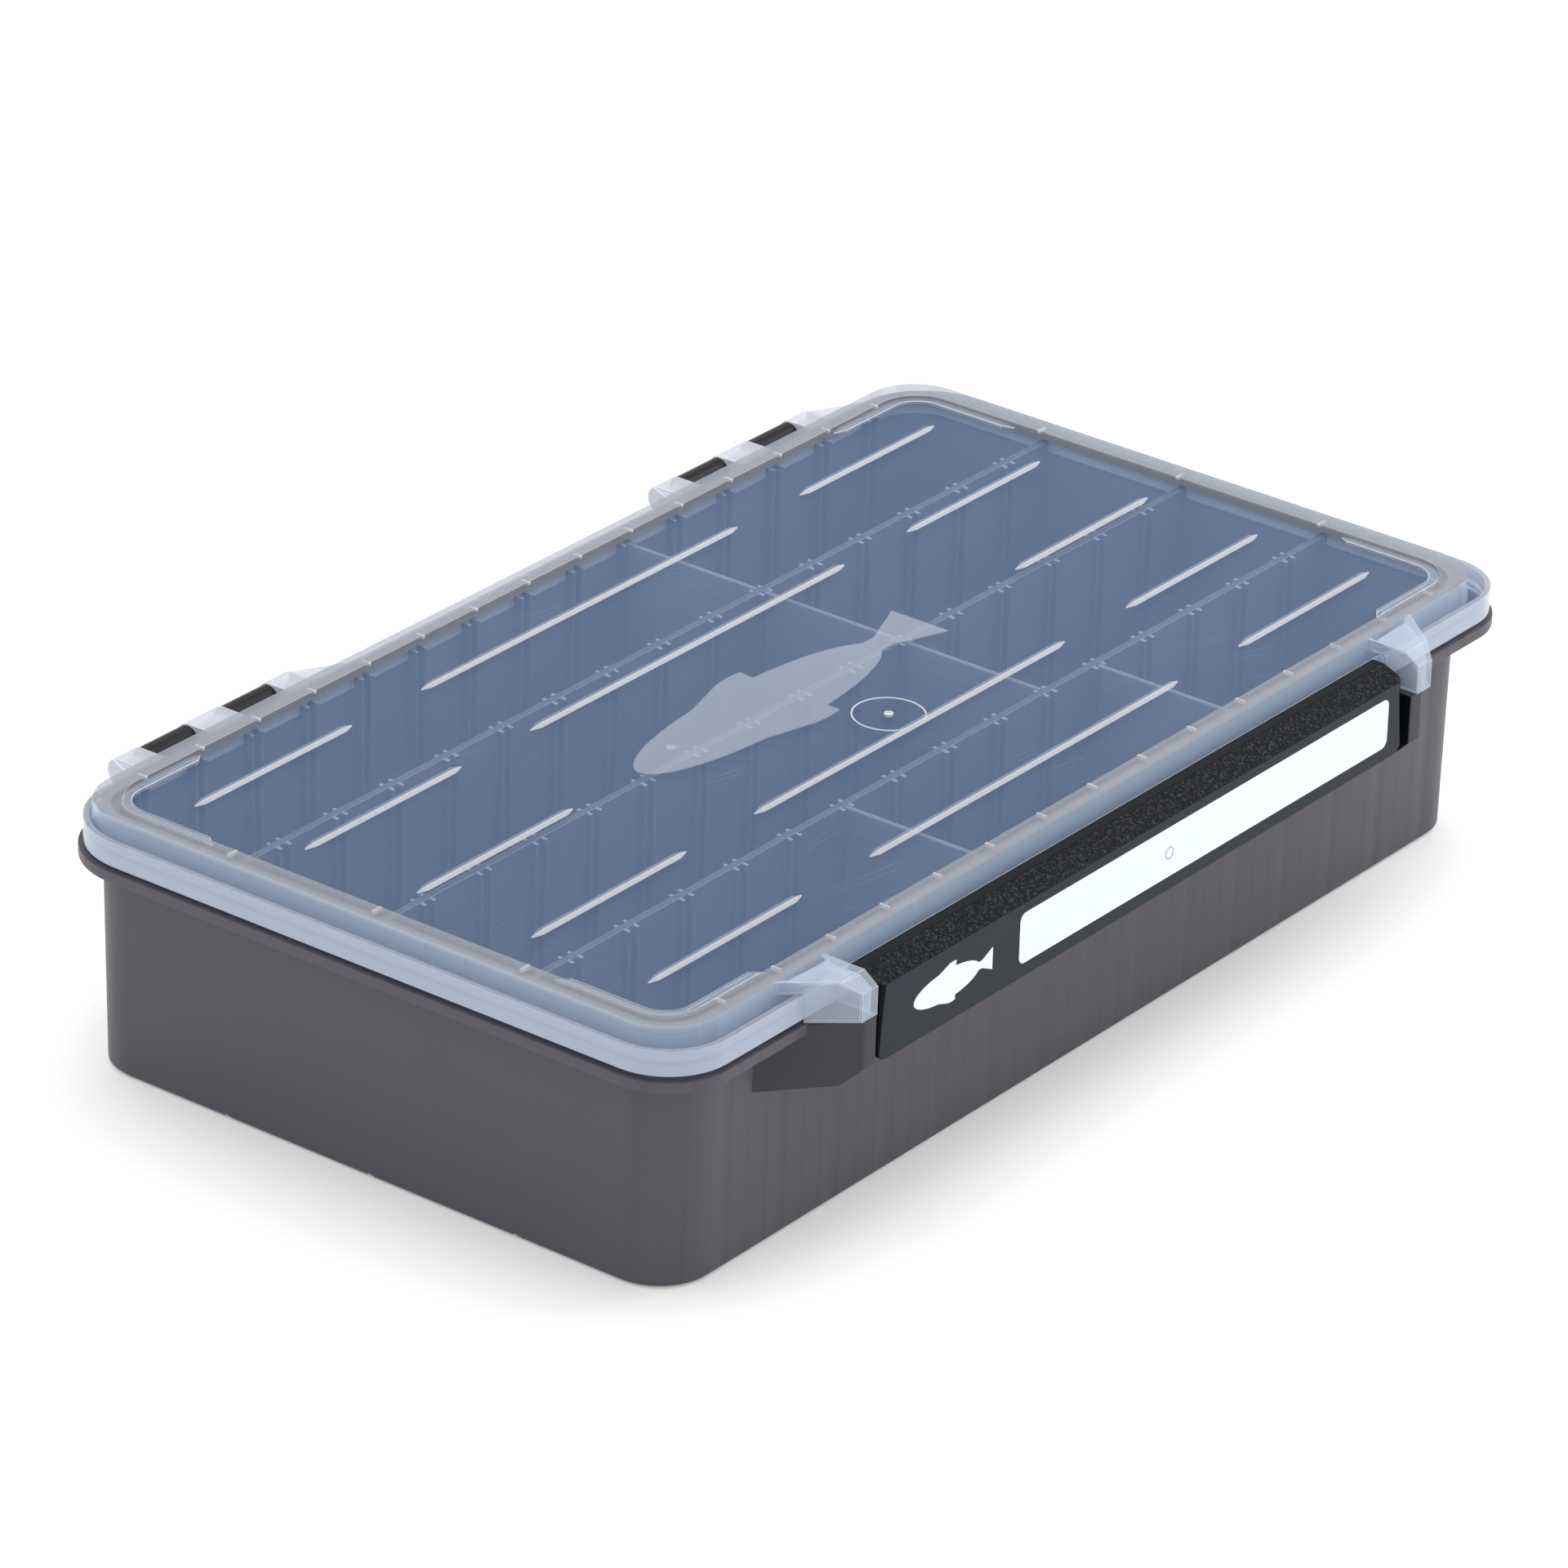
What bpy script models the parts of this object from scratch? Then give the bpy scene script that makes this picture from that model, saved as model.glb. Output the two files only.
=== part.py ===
"""Fishing tackle box: a deep tray with a hinged clear lid, a full-width front latch and dividers.

X runs along the box, -Y is the latch side, +Y the hinge side, +Z up.
The origin is the centre of the underside. All lengths are in metres.
"""
import math

import bmesh
import bpy
from mathutils import Vector

# Tray
WALL_HALF_X = 0.1703
WALL_HALF_Y = 0.0942
WALL_CORNER_R = 0.0148
WALL_THICK = 0.002
WALL_TOP_Z = 0.0696
FLOOR_Z = 0.002
DRAFT = 0.0007
FOOT_CHAMFER = 0.001

# Flange lip round the tray
FLANGE_OUT = 0.0082
FLANGE_THICK = 0.0016
FLANGE_REAR_CUT = 0.003
FLANGE_LOW_Z = 0.059
FLANGE_WEB_Z = 0.060
FLANGE_TOP_Z = 0.062

# Loops further out than this have tighter front corners and stand out less at the rear
OUTER_ZONE = 0.005
FRONT_ROUNDING = 0.43

# Compartments
CHANNEL_PITCH = 0.0461
INNER_WALL_HALF = 0.001
INNER_WALL_TOP_Z = 0.0693
SLOT_PITCH = 0.0214
SLOTS_EACH_SIDE = 7
RIB_OUT = 0.0014
RIB_NEAR = 0.00125
RIB_FAR = 0.00225
RIB_TOP_Z = 0.066
DIVIDER_HALF = 0.0007
DIVIDER_EDGE_HALF = 0.0009
DIVIDER_EDGE_H = 0.0025
DIVIDER_TOP_Z = 0.069
FIT_GAP = 0.0004
# (channel, slot): channel 0 is at the hinge side, slot 0 at the middle of the box
DIVIDER_PLACES = ((0, 2), (1, 2), (2, 2), (3, 3), (3, -2))

# Lid
LID_TOP_Z = 0.0731
PANEL_Z = 0.0713
PANEL_THICK = 0.0015
RIM_IN_X = 0.1660
RIM_IN_Y = 0.0899
RIM_W = 0.006
LEDGE_Z = 0.06985
LEDGE_LOW_Z = 0.0672
SKIRT_OUT = 0.0057
SKIRT_REAR_CUT = 0.0037
SKIRT_LOW_Z = 0.0632
SKIRT_THICK = 0.0015
CATCH_Z = 0.0684

# Latch and its ears
EAR_IN_X = 0.1139
EAR_FRONT_Y = -0.1115
EAR_FRONT_X = 0.119
EAR_ROOT_X = 0.1399
EAR_LOW_Z = 0.0443
EAR_CHAMFER = 0.0038
LID_EAR_IN_X = 0.1153
LID_EAR_FRONT_Y = -0.1125
LID_EAR_LOW_Z = 0.0623
LID_EAR_WALL = 0.0013
LATCH_HALF_X = 0.1115
LATCH_FACE_Y = -0.1105
LATCH_LOW_Z = 0.0467
LATCH_TOP_Z = 0.0678
LATCH_WALL = 0.002
CHEEK_W = 0.003
PIVOT_Y = -0.1055
PIVOT_Z = 0.0505
PIVOT_PIN_R = 0.00155
GAP = 0.0003
LABEL_X = (-0.0550, 0.1050)
LABEL_Z = (0.0505, 0.0645)
LABEL_THICK = 0.0003
LABEL_CORNER_R = 0.002

# Hinges
HINGE_Y = 0.1062
HINGE_Z = 0.0656
HINGE_PIN_R = 0.0018
HOOK_R = 0.0034
KNUCKLE_R = 0.0037
HINGE_CENTRE_X = 0.1084
HOOK_LEN = 0.0176
KNUCKLE_END = 0.0090
KNUCKLE_MID = 0.0134
SIDE_GAP = 0.0003
KNUCKLE_TAPER = 0.0185
HOOK_LOW_Z = 0.059

CORNER_STEPS = 6


def clear_scene():
    for old in list(bpy.data.objects):
        bpy.data.objects.remove(old, do_unlink=True)


def make_material(name, colour, roughness, alpha=1.0):
    material = bpy.data.materials.new(name)
    material.use_nodes = True
    shader = material.node_tree.nodes["Principled BSDF"]
    shader.inputs["Base Color"].default_value = (*colour, 1.0)
    shader.inputs["Roughness"].default_value = roughness
    shader.inputs["Metallic"].default_value = 0.0
    shader.inputs["Alpha"].default_value = alpha
    return material


def finish_mesh(name, mesh_data, material=None, origin=(0.0, 0.0, 0.0)):
    """Turn a bmesh into an object whose origin is at the given point."""
    bmesh.ops.recalc_face_normals(mesh_data, faces=mesh_data.faces)
    bmesh.ops.translate(mesh_data, verts=mesh_data.verts, vec=-Vector(origin))
    mesh = bpy.data.meshes.new(name)
    mesh_data.to_mesh(mesh)
    mesh_data.free()
    body = bpy.data.objects.new(name, mesh)
    body.location = origin
    bpy.context.scene.collection.objects.link(body)
    if material:
        mesh.materials.append(material)
    return body


def as_tool(body):
    """Mark a body that only adds to or cuts another one."""
    body.hide_render = True
    body.display_type = "WIRE"
    return body


def combine(body, tool, operation):
    step = body.modifiers.new(operation.title() + " " + tool.name, "BOOLEAN")
    step.operation = operation
    step.solver = "EXACT"
    step.object = as_tool(tool)


def rounded_loop(half_x, front_y, rear_y, front_r, rear_r, z):
    """Points of a rectangle with round corners, counter-clockwise from above."""
    points = []
    corners = ((1, rear_y, rear_r), (-1, rear_y, rear_r), (-1, -front_y, front_r), (1, -front_y, front_r))
    for corner, (side, edge_y, radius) in enumerate(corners):
        centre_y = edge_y - math.copysign(radius, edge_y)
        for step in range(CORNER_STEPS + 1):
            angle = math.radians(90.0 * (corner + step / CORNER_STEPS))
            x = side * (half_x - radius) + radius * math.cos(angle)
            y = centre_y + radius * math.sin(angle)
            points.append((x, y, z))
    return points


def wall_loop(offset, z, rear_cut=0.0):
    """A loop at an offset from the tray wall; outer loops are cut back at the rear."""
    front_y = WALL_HALF_Y + offset
    rear_y = front_y
    front_r = WALL_CORNER_R + offset
    if offset > OUTER_ZONE:
        rear_y -= rear_cut
        front_r = WALL_CORNER_R + offset * FRONT_ROUNDING
    return rounded_loop(WALL_HALF_X + offset, front_y, rear_y, front_r, WALL_CORNER_R + offset, z)


def offset_shell(name, profile, rear_cut, material=None):
    """A shell from (offset from the tray wall, height) pairs; its first and last loops are filled."""
    shell = bmesh.new()
    loops = []
    for offset, z in profile:
        points = wall_loop(offset, z, rear_cut)
        loops.append([shell.verts.new(point) for point in points])
    count = len(loops[0])
    for lower, upper in zip(loops, loops[1:]):
        for i in range(count):
            j = (i + 1) % count
            shell.faces.new((lower[i], lower[j], upper[j], upper[i]))
    shell.faces.new(loops[0])
    shell.faces.new(loops[-1])
    return finish_mesh(name, shell, material)


def add_box(target, low, high):
    corners = []
    for x in (low[0], high[0]):
        for y in (low[1], high[1]):
            for z in (low[2], high[2]):
                corners.append(target.verts.new((x, y, z)))
    bmesh.ops.convex_hull(target, input=corners)


def add_hull(target, points):
    corners = [target.verts.new(point) for point in points]
    bmesh.ops.convex_hull(target, input=corners)


def box_object(name, low, high):
    box = bmesh.new()
    add_box(box, low, high)
    return finish_mesh(name, box)


def extrude_outline(name, outline, start_x, end_x, material=None, origin=(0.0, 0.0, 0.0)):
    """Extrude a (y, z) outline along X."""
    solid = bmesh.new()
    near = [solid.verts.new((start_x, y, z)) for y, z in outline]
    face = solid.faces.new(near)
    pulled = bmesh.ops.extrude_face_region(solid, geom=[face])
    moved = [part for part in pulled["geom"] if isinstance(part, bmesh.types.BMVert)]
    bmesh.ops.translate(solid, verts=moved, vec=(end_x - start_x, 0.0, 0.0))
    return finish_mesh(name, solid, material, origin)


def rod(name, radius, start_x, end_x, y, z, material=None, segments=16):
    outline = []
    for step in range(segments):
        angle = 2.0 * math.pi * step / segments
        outline.append((y + radius * math.cos(angle), z + radius * math.sin(angle)))
    body = extrude_outline(name, outline, start_x, end_x, material, (0.0, y, z))
    body.data.shade_smooth()
    body.data.set_sharp_from_angle(angle=math.radians(40.0))
    return body


def channel_walls():
    """The three fixed lengthwise walls."""
    walls = bmesh.new()
    end_x = WALL_HALF_X - WALL_THICK * 0.6
    for row in (-1, 0, 1):
        y = row * CHANNEL_PITCH
        low = (-end_x, y - INNER_WALL_HALF, FLOOR_Z * 0.5)
        high = (end_x, y + INNER_WALL_HALF, INNER_WALL_TOP_Z)
        add_box(walls, low, high)
    return finish_mesh("channel_walls", walls)


def slot_ribs():
    """Pairs of ribs at each slot, across every lengthwise wall and inside both long sides."""
    ribs = bmesh.new()
    inner_y = WALL_HALF_Y - WALL_THICK
    spans = [(row * CHANNEL_PITCH - INNER_WALL_HALF - RIB_OUT,
              row * CHANNEL_PITCH + INNER_WALL_HALF + RIB_OUT) for row in (-1, 0, 1)]
    spans.append((inner_y - DRAFT - RIB_OUT, inner_y + WALL_THICK * 0.3))
    spans.append((-spans[-1][1], -spans[-1][0]))
    for slot in range(-SLOTS_EACH_SIDE, SLOTS_EACH_SIDE + 1):
        for side in (-1, 1):
            near = slot * SLOT_PITCH + side * RIB_NEAR
            far = slot * SLOT_PITCH + side * RIB_FAR
            for low_y, high_y in spans:
                low = (min(near, far), low_y, FLOOR_Z * 0.6)
                add_box(ribs, low, (max(near, far), high_y, RIB_TOP_Z))
    return finish_mesh("slot_ribs", ribs)


def base_ears():
    """Solid ears on the front wall that carry the latch."""
    ears = bmesh.new()
    root_y = -WALL_HALF_Y + WALL_THICK * 0.3
    slope = (EAR_ROOT_X - EAR_FRONT_X) / (root_y - EAR_FRONT_Y)
    low_y = EAR_FRONT_Y + EAR_CHAMFER
    low_x = EAR_FRONT_X + slope * EAR_CHAMFER
    top_z = FLANGE_TOP_Z - 0.0002
    for side in (-1, 1):
        points = []
        for z in (EAR_LOW_Z, top_z):
            points.append((side * EAR_ROOT_X, root_y, z))
            points.append((side * EAR_IN_X, root_y, z))
        points.append((side * EAR_IN_X, low_y, EAR_LOW_Z))
        points.append((side * low_x, low_y, EAR_LOW_Z))
        for z in (EAR_LOW_Z + EAR_CHAMFER, top_z):
            points.append((side * EAR_IN_X, EAR_FRONT_Y, z))
            points.append((side * EAR_FRONT_X, EAR_FRONT_Y, z))
        add_hull(ears, points)
    return finish_mesh("base_ears", ears)


def make_base(material):
    lip_in = FLANGE_OUT - FLANGE_THICK
    profile = (
        (-DRAFT - FOOT_CHAMFER, 0.0),
        (-DRAFT, FOOT_CHAMFER),
        (0.0, FLANGE_WEB_Z),
        (lip_in, FLANGE_WEB_Z),
        (lip_in, FLANGE_LOW_Z),
        (FLANGE_OUT, FLANGE_LOW_Z),
        (FLANGE_OUT, FLANGE_TOP_Z),
        (0.0, FLANGE_TOP_Z),
        (0.0, WALL_TOP_Z),
        (-WALL_THICK, WALL_TOP_Z),
        (-WALL_THICK - DRAFT, FLOOR_Z),
    )
    base = offset_shell("base", profile, FLANGE_REAR_CUT, material)
    combine(base, channel_walls(), "UNION")
    combine(base, slot_ribs(), "UNION")
    combine(base, base_ears(), "UNION")
    for side, word in ((-1, "left"), (1, "right")):
        start = side * (EAR_IN_X - 0.001)
        end = side * (EAR_IN_X + 0.0055)
        bore = rod("ear_bore_" + word, PIVOT_PIN_R + GAP, start, end, PIVOT_Y, PIVOT_Z)
        combine(base, bore, "DIFFERENCE")
    return base


def divider(name, channel, slot, material):
    """A removable cross wall with a thicker top edge."""
    x = slot * SLOT_PITCH
    side_y = WALL_HALF_Y - WALL_THICK - DRAFT
    edges = (side_y, CHANNEL_PITCH - INNER_WALL_HALF, 0.0 - INNER_WALL_HALF,
             -CHANNEL_PITCH - INNER_WALL_HALF, -side_y)
    high_y = edges[channel] - FIT_GAP
    low_y = edges[channel + 1] + FIT_GAP
    if channel < 3:
        low_y += 2.0 * INNER_WALL_HALF
    edge_z = DIVIDER_TOP_Z - DIVIDER_EDGE_H
    section = (
        (-DIVIDER_HALF, FLOOR_Z + FIT_GAP),
        (DIVIDER_HALF, FLOOR_Z + FIT_GAP),
        (DIVIDER_HALF, edge_z - 0.0004),
        (DIVIDER_EDGE_HALF, edge_z),
        (DIVIDER_EDGE_HALF, DIVIDER_TOP_Z),
        (-DIVIDER_EDGE_HALF, DIVIDER_TOP_Z),
        (-DIVIDER_EDGE_HALF, edge_z),
        (-DIVIDER_HALF, edge_z - 0.0004),
    )
    plate = bmesh.new()
    near = [plate.verts.new((x + dx, low_y, z)) for dx, z in section]
    face = plate.faces.new(near)
    pulled = bmesh.ops.extrude_face_region(plate, geom=[face])
    moved = [part for part in pulled["geom"] if isinstance(part, bmesh.types.BMVert)]
    bmesh.ops.translate(plate, verts=moved, vec=(0.0, high_y - low_y, 0.0))
    return finish_mesh(name, plate, material)


def lid_ears(name, inset, low_z):
    """Faceted ears on the lid's front corners; inset makes the hollow inside them."""
    ears = bmesh.new()
    top_z = LID_TOP_Z - inset
    rim_y = -(RIM_IN_Y + RIM_W) + 0.0005 - inset * 3.0
    front_y = LID_EAR_FRONT_Y + inset
    for side in (-1, 1):
        inner = side * (LID_EAR_IN_X + inset)
        points = [
            (inner, rim_y, top_z),
            (side * (0.1350 - inset * 4.0), rim_y, top_z),
            (inner, -0.1083 + inset, top_z),
            (side * (0.1218 - inset * 1.5), -0.1083 + inset, top_z),
            (inner, front_y, 0.0708 - inset),
            (side * (0.1206 - inset), front_y, 0.0708 - inset),
            (inner, front_y, low_z),
            (side * (0.1200 - inset), front_y, low_z),
            (inner, -0.1010 - inset * 1.5, low_z),
            (side * (0.1345 - inset * 3.0), -0.1010 - inset * 1.5, low_z),
        ]
        add_hull(ears, points)
    return finish_mesh(name, ears)


def hinge_spans(side):
    """X ranges of a hinge's parts, left to right: knuckle, hook, knuckle, hook, knuckle."""
    lengths = (KNUCKLE_END, HOOK_LEN, KNUCKLE_MID, HOOK_LEN, KNUCKLE_END)
    x = side * HINGE_CENTRE_X - sum(lengths) / 2.0
    spans = []
    for length in lengths:
        spans.append((x, x + length))
        x += length
    return spans


def knuckle_outline():
    """Round barrel with a web that runs forward into the lid's skirt."""
    outline = []
    steps = 9
    for step in range(steps + 1):
        angle = math.radians(90.0 - 200.0 * step / steps)
        outline.append((HINGE_Y + KNUCKLE_R * math.cos(angle), HINGE_Z + KNUCKLE_R * math.sin(angle)))
    root_y = RIM_IN_Y + RIM_W + SKIRT_OUT - SKIRT_REAR_CUT - SKIRT_THICK * 0.5
    outline.append((root_y, SKIRT_LOW_Z + 0.0008))
    outline.append((root_y, HINGE_Z + KNUCKLE_R))
    return outline


def lid_knuckles():
    knuckles = bmesh.new()
    for side in (-1, 1):
        for start, end in hinge_spans(side)[0::2]:
            start_loop = [knuckles.verts.new((start, y, z)) for y, z in knuckle_outline()]
            end_loop = [knuckles.verts.new((end, y, z)) for y, z in knuckle_outline()]
            count = len(start_loop)
            for i in range(count):
                j = (i + 1) % count
                knuckles.faces.new((start_loop[i], start_loop[j], end_loop[j], end_loop[i]))
            knuckles.faces.new(start_loop)
            knuckles.faces.new(end_loop)
    return finish_mesh("lid_knuckles", knuckles)


def knuckle_tapers():
    """Gussets that run from each hinge's last knuckle back into the skirt."""
    tapers = bmesh.new()
    root_y = RIM_IN_Y + RIM_W + SKIRT_OUT - SKIRT_REAR_CUT - SKIRT_THICK * 0.6
    for side in (-1, 1):
        taper_x = hinge_spans(side)[-1][1] - 0.0008
        points = []
        for z in (SKIRT_LOW_Z + 0.001, HINGE_Z + KNUCKLE_R - 0.0003):
            points.append((taper_x, root_y, z))
            points.append((taper_x, HINGE_Y + 0.0012, z))
            points.append((taper_x + KNUCKLE_TAPER, root_y, z))
        add_hull(tapers, points)
    return finish_mesh("knuckle_tapers", tapers)


def make_lid(material):
    rim_out = RIM_IN_X + RIM_W - WALL_HALF_X
    rim_in = RIM_IN_X - WALL_HALF_X
    skirt_out = rim_out + SKIRT_OUT
    profile = (
        (rim_in - 0.0008, PANEL_Z),
        (rim_in, LID_TOP_Z),
        (rim_out, LID_TOP_Z),
        (rim_out + 0.0008, LEDGE_Z),
        (skirt_out, LEDGE_Z),
        (skirt_out + 0.0003, SKIRT_LOW_Z),
        (skirt_out + 0.0003 - SKIRT_THICK, SKIRT_LOW_Z),
        (skirt_out - SKIRT_THICK, LEDGE_LOW_Z),
        (rim_out - 0.0008, LEDGE_LOW_Z),
        (rim_out - 0.0014, LID_TOP_Z - PANEL_THICK),
        (rim_in + 0.0014, LID_TOP_Z - PANEL_THICK),
        (rim_in + 0.0006, PANEL_Z - PANEL_THICK),
    )
    lid = offset_shell("lid", profile, SKIRT_REAR_CUT, material)
    lid.parent = joint_empty("lid_axis", (0.0, HINGE_Y, HINGE_Z))
    lid.matrix_parent_inverse = lid.parent.matrix_world.inverted()
    catch_half = LID_EAR_IN_X - 0.001
    ledge_front_y = -(RIM_IN_Y + RIM_W + SKIRT_OUT)
    catch = box_object("catch_recess", (-catch_half, ledge_front_y - 0.002, CATCH_Z),
                       (catch_half, -(RIM_IN_Y + RIM_W) - 0.0012, LEDGE_Z + 0.001))
    combine(lid, catch, "DIFFERENCE")
    combine(lid, lid_ears("lid_ears", 0.0, LID_EAR_LOW_Z), "UNION")
    combine(lid, lid_ears("ear_hollows", LID_EAR_WALL, LID_EAR_LOW_Z - 0.001), "DIFFERENCE")
    combine(lid, lid_knuckles(), "UNION")
    combine(lid, knuckle_tapers(), "UNION")
    for side, word in ((-1, "left"), (1, "right")):
        spans = hinge_spans(side)
        start = spans[0][0] + 0.0015
        end = spans[-1][1] - 0.0015
        bore = rod("knuckle_bore_" + word, HINGE_PIN_R + GAP, start, end, HINGE_Y, HINGE_Z)
        combine(lid, bore, "DIFFERENCE")
    return lid


def joint_empty(name, place):
    axis = bpy.data.objects.new(name, None)
    axis.location = place
    bpy.context.scene.collection.objects.link(axis)
    bpy.context.view_layer.update()
    return axis


def ride_on(body, empty):
    body.parent = empty
    body.matrix_parent_inverse = empty.matrix_world.inverted()


def make_seal(material):
    """A flat ring between the wall's top and the roof of the lid's channel."""
    low_z = WALL_TOP_Z + GAP
    high_z = LID_TOP_Z - PANEL_THICK - GAP
    inner = -WALL_THICK - 0.0002
    outer = -0.0001
    ring = bmesh.new()
    loops = []
    for offset, z in ((inner, low_z), (outer, low_z), (outer, high_z), (inner, high_z)):
        loops.append([ring.verts.new(point) for point in wall_loop(offset, z)])
    count = len(loops[0])
    for k in range(4):
        lower = loops[k]
        upper = loops[(k + 1) % 4]
        for i in range(count):
            j = (i + 1) % count
            ring.faces.new((lower[i], lower[j], upper[j], upper[i]))
    return finish_mesh("lid_seal", ring, material)


def make_latch(material, empty):
    """A hooked bar, open at the back, with a cheek at each end for its pivot pin."""
    inner_y = LATCH_FACE_Y + LATCH_WALL
    hook_low_z = CATCH_Z + GAP
    section = (
        (LATCH_FACE_Y, LATCH_LOW_Z + 0.0009),
        (LATCH_FACE_Y, LATCH_TOP_Z),
        (-0.1040, 0.0699),
        (-0.1005, 0.0700),
        (-0.1005, hook_low_z),
        (-0.1034, hook_low_z),
        (inner_y, LATCH_TOP_Z - 0.0018),
        (inner_y, LATCH_LOW_Z + 0.0018),
        (inner_y + 0.0018, LATCH_LOW_Z + 0.0016),
        (inner_y + 0.0018, LATCH_LOW_Z),
        (LATCH_FACE_Y + 0.0009, LATCH_LOW_Z),
    )
    latch = extrude_outline("latch", section, -LATCH_HALF_X, LATCH_HALF_X, material,
                            (0.0, PIVOT_Y, PIVOT_Z))
    ride_on(latch, empty)
    cheek = (
        (LATCH_FACE_Y + 0.0006, LATCH_LOW_Z + 0.0006),
        (LATCH_FACE_Y + 0.0006, LATCH_TOP_Z - 0.0003),
        (-0.1042, hook_low_z + 0.0006),
        (-0.1032, hook_low_z + 0.0003),
        (-0.1032, LATCH_LOW_Z + 0.0006),
    )
    recess_y = LATCH_FACE_Y + LABEL_THICK + GAP
    for side, word in ((-1, "left"), (1, "right")):
        outer_x = side * (LATCH_HALF_X - 0.0003)
        inner_x = side * (LATCH_HALF_X - CHEEK_W)
        combine(latch, extrude_outline("cheek_" + word, cheek, inner_x, outer_x), "UNION")
        bore = rod("cheek_bore_" + word, PIVOT_PIN_R + GAP, inner_x - side * 0.001,
                   outer_x + side * 0.001, PIVOT_Y, PIVOT_Z)
        combine(latch, bore, "DIFFERENCE")
    recess = box_object("label_recess",
                        (LABEL_X[0] - GAP, LATCH_FACE_Y - 0.001, LABEL_Z[0] - GAP),
                        (LABEL_X[1] + GAP, recess_y, LABEL_Z[1] + GAP))
    combine(latch, recess, "DIFFERENCE")
    return latch


def make_label(material, empty):
    centre_x = (LABEL_X[0] + LABEL_X[1]) / 2.0
    centre_z = (LABEL_Z[0] + LABEL_Z[1]) / 2.0
    half_x = (LABEL_X[1] - LABEL_X[0]) / 2.0
    half_z = (LABEL_Z[1] - LABEL_Z[0]) / 2.0
    card = bmesh.new()
    front = []
    for x, z, _ in rounded_loop(half_x, half_z, half_z, LABEL_CORNER_R, LABEL_CORNER_R, 0.0):
        front.append(card.verts.new((centre_x + x, LATCH_FACE_Y, centre_z + z)))
    face = card.faces.new(front)
    pulled = bmesh.ops.extrude_face_region(card, geom=[face])
    moved = [part for part in pulled["geom"] if isinstance(part, bmesh.types.BMVert)]
    bmesh.ops.translate(card, verts=moved, vec=(0.0, LABEL_THICK, 0.0))
    label = finish_mesh("label", card, material)
    ride_on(label, empty)
    return label


def hook_outline():
    """A C over the hinge pin, with a leg down its rear side and a foot against the flange."""
    outline = []
    steps = 10
    start, end = 205.0, 0.0
    for step in range(steps + 1):
        angle = math.radians(start + (end - start) * step / steps)
        outline.append((HINGE_Y + HOOK_R * math.cos(angle), HINGE_Z + HOOK_R * math.sin(angle)))
    foot_y = WALL_HALF_Y + FLANGE_OUT - FLANGE_REAR_CUT + GAP
    outline.append((HINGE_Y + HOOK_R, HOOK_LOW_Z))
    outline.append((foot_y, HOOK_LOW_Z))
    outline.append((foot_y, HOOK_LOW_Z + 0.003))
    bore_r = HINGE_PIN_R + GAP
    outline.append((HINGE_Y + bore_r, HOOK_LOW_Z + 0.003))
    for step in range(steps + 1):
        angle = math.radians(end + (start - end) * step / steps)
        outline.append((HINGE_Y + bore_r * math.cos(angle), HINGE_Z + bore_r * math.sin(angle)))
    return outline


def make_hinges(hook_material, pin_material, lid_axis):
    number = 1
    for side, word in ((-1, "left"), (1, "right")):
        spans = hinge_spans(side)
        for start, end in spans[1::2]:
            hook = extrude_outline("hinge_hook_%d" % number, hook_outline(), start + SIDE_GAP,
                                   end - SIDE_GAP, hook_material)
            hook.data.shade_smooth()
            hook.data.set_sharp_from_angle(angle=math.radians(40.0))
            number += 1
        pin = rod("hinge_pin_" + word, HINGE_PIN_R, spans[0][0] + 0.0018, spans[-1][1] - 0.0018,
                  HINGE_Y, HINGE_Z, pin_material)
        ride_on(pin, lid_axis)


def main():
    clear_scene()
    grey = make_material("base_grey", (0.108, 0.098, 0.112), 0.42)
    clear = make_material("lid_clear", (0.62, 0.72, 0.82), 0.18, 0.35)
    seal = make_material("seal_white", (0.75, 0.77, 0.78), 0.5)
    black = make_material("latch_black", (0.018, 0.020, 0.024), 0.35)
    white = make_material("label_white", (0.84, 0.88, 0.90), 0.45)
    hook_black = make_material("hinge_black", (0.022, 0.019, 0.021), 0.4)
    pin_clear = make_material("pin_clear", (0.70, 0.74, 0.78), 0.25)
    divider_grey = make_material("divider_grey", (0.20, 0.22, 0.26), 0.4)

    make_base(grey)
    for number, (channel, slot) in enumerate(DIVIDER_PLACES, start=1):
        divider("divider_%d" % number, channel, slot, divider_grey)

    lid = make_lid(clear)
    lid_axis = lid.parent
    ride_on(make_seal(seal), lid_axis)
    make_hinges(hook_black, pin_clear, lid_axis)

    latch_axis = joint_empty("latch_axis", (0.0, PIVOT_Y, PIVOT_Z))
    make_latch(black, latch_axis)
    make_label(white, latch_axis)
    pin_in = LATCH_HALF_X - CHEEK_W - 0.001
    pin_out = EAR_IN_X + 0.005
    for side, word in ((-1, "left"), (1, "right")):
        pin = rod("latch_pin_" + word, PIVOT_PIN_R, side * pin_in, side * pin_out, PIVOT_Y, PIVOT_Z,
                  black)
        ride_on(pin, latch_axis)


main()
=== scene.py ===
"""Looks for a clear-lidded tackle box: a grey moulded tray, a hinged clear lid and a black latch bar.

X runs along the box, -Y is the latch side, +Y the hinge side, +Z up. All lengths are in metres.
"""
import math

import bmesh
import bpy
from mathutils import Matrix, Vector


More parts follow.
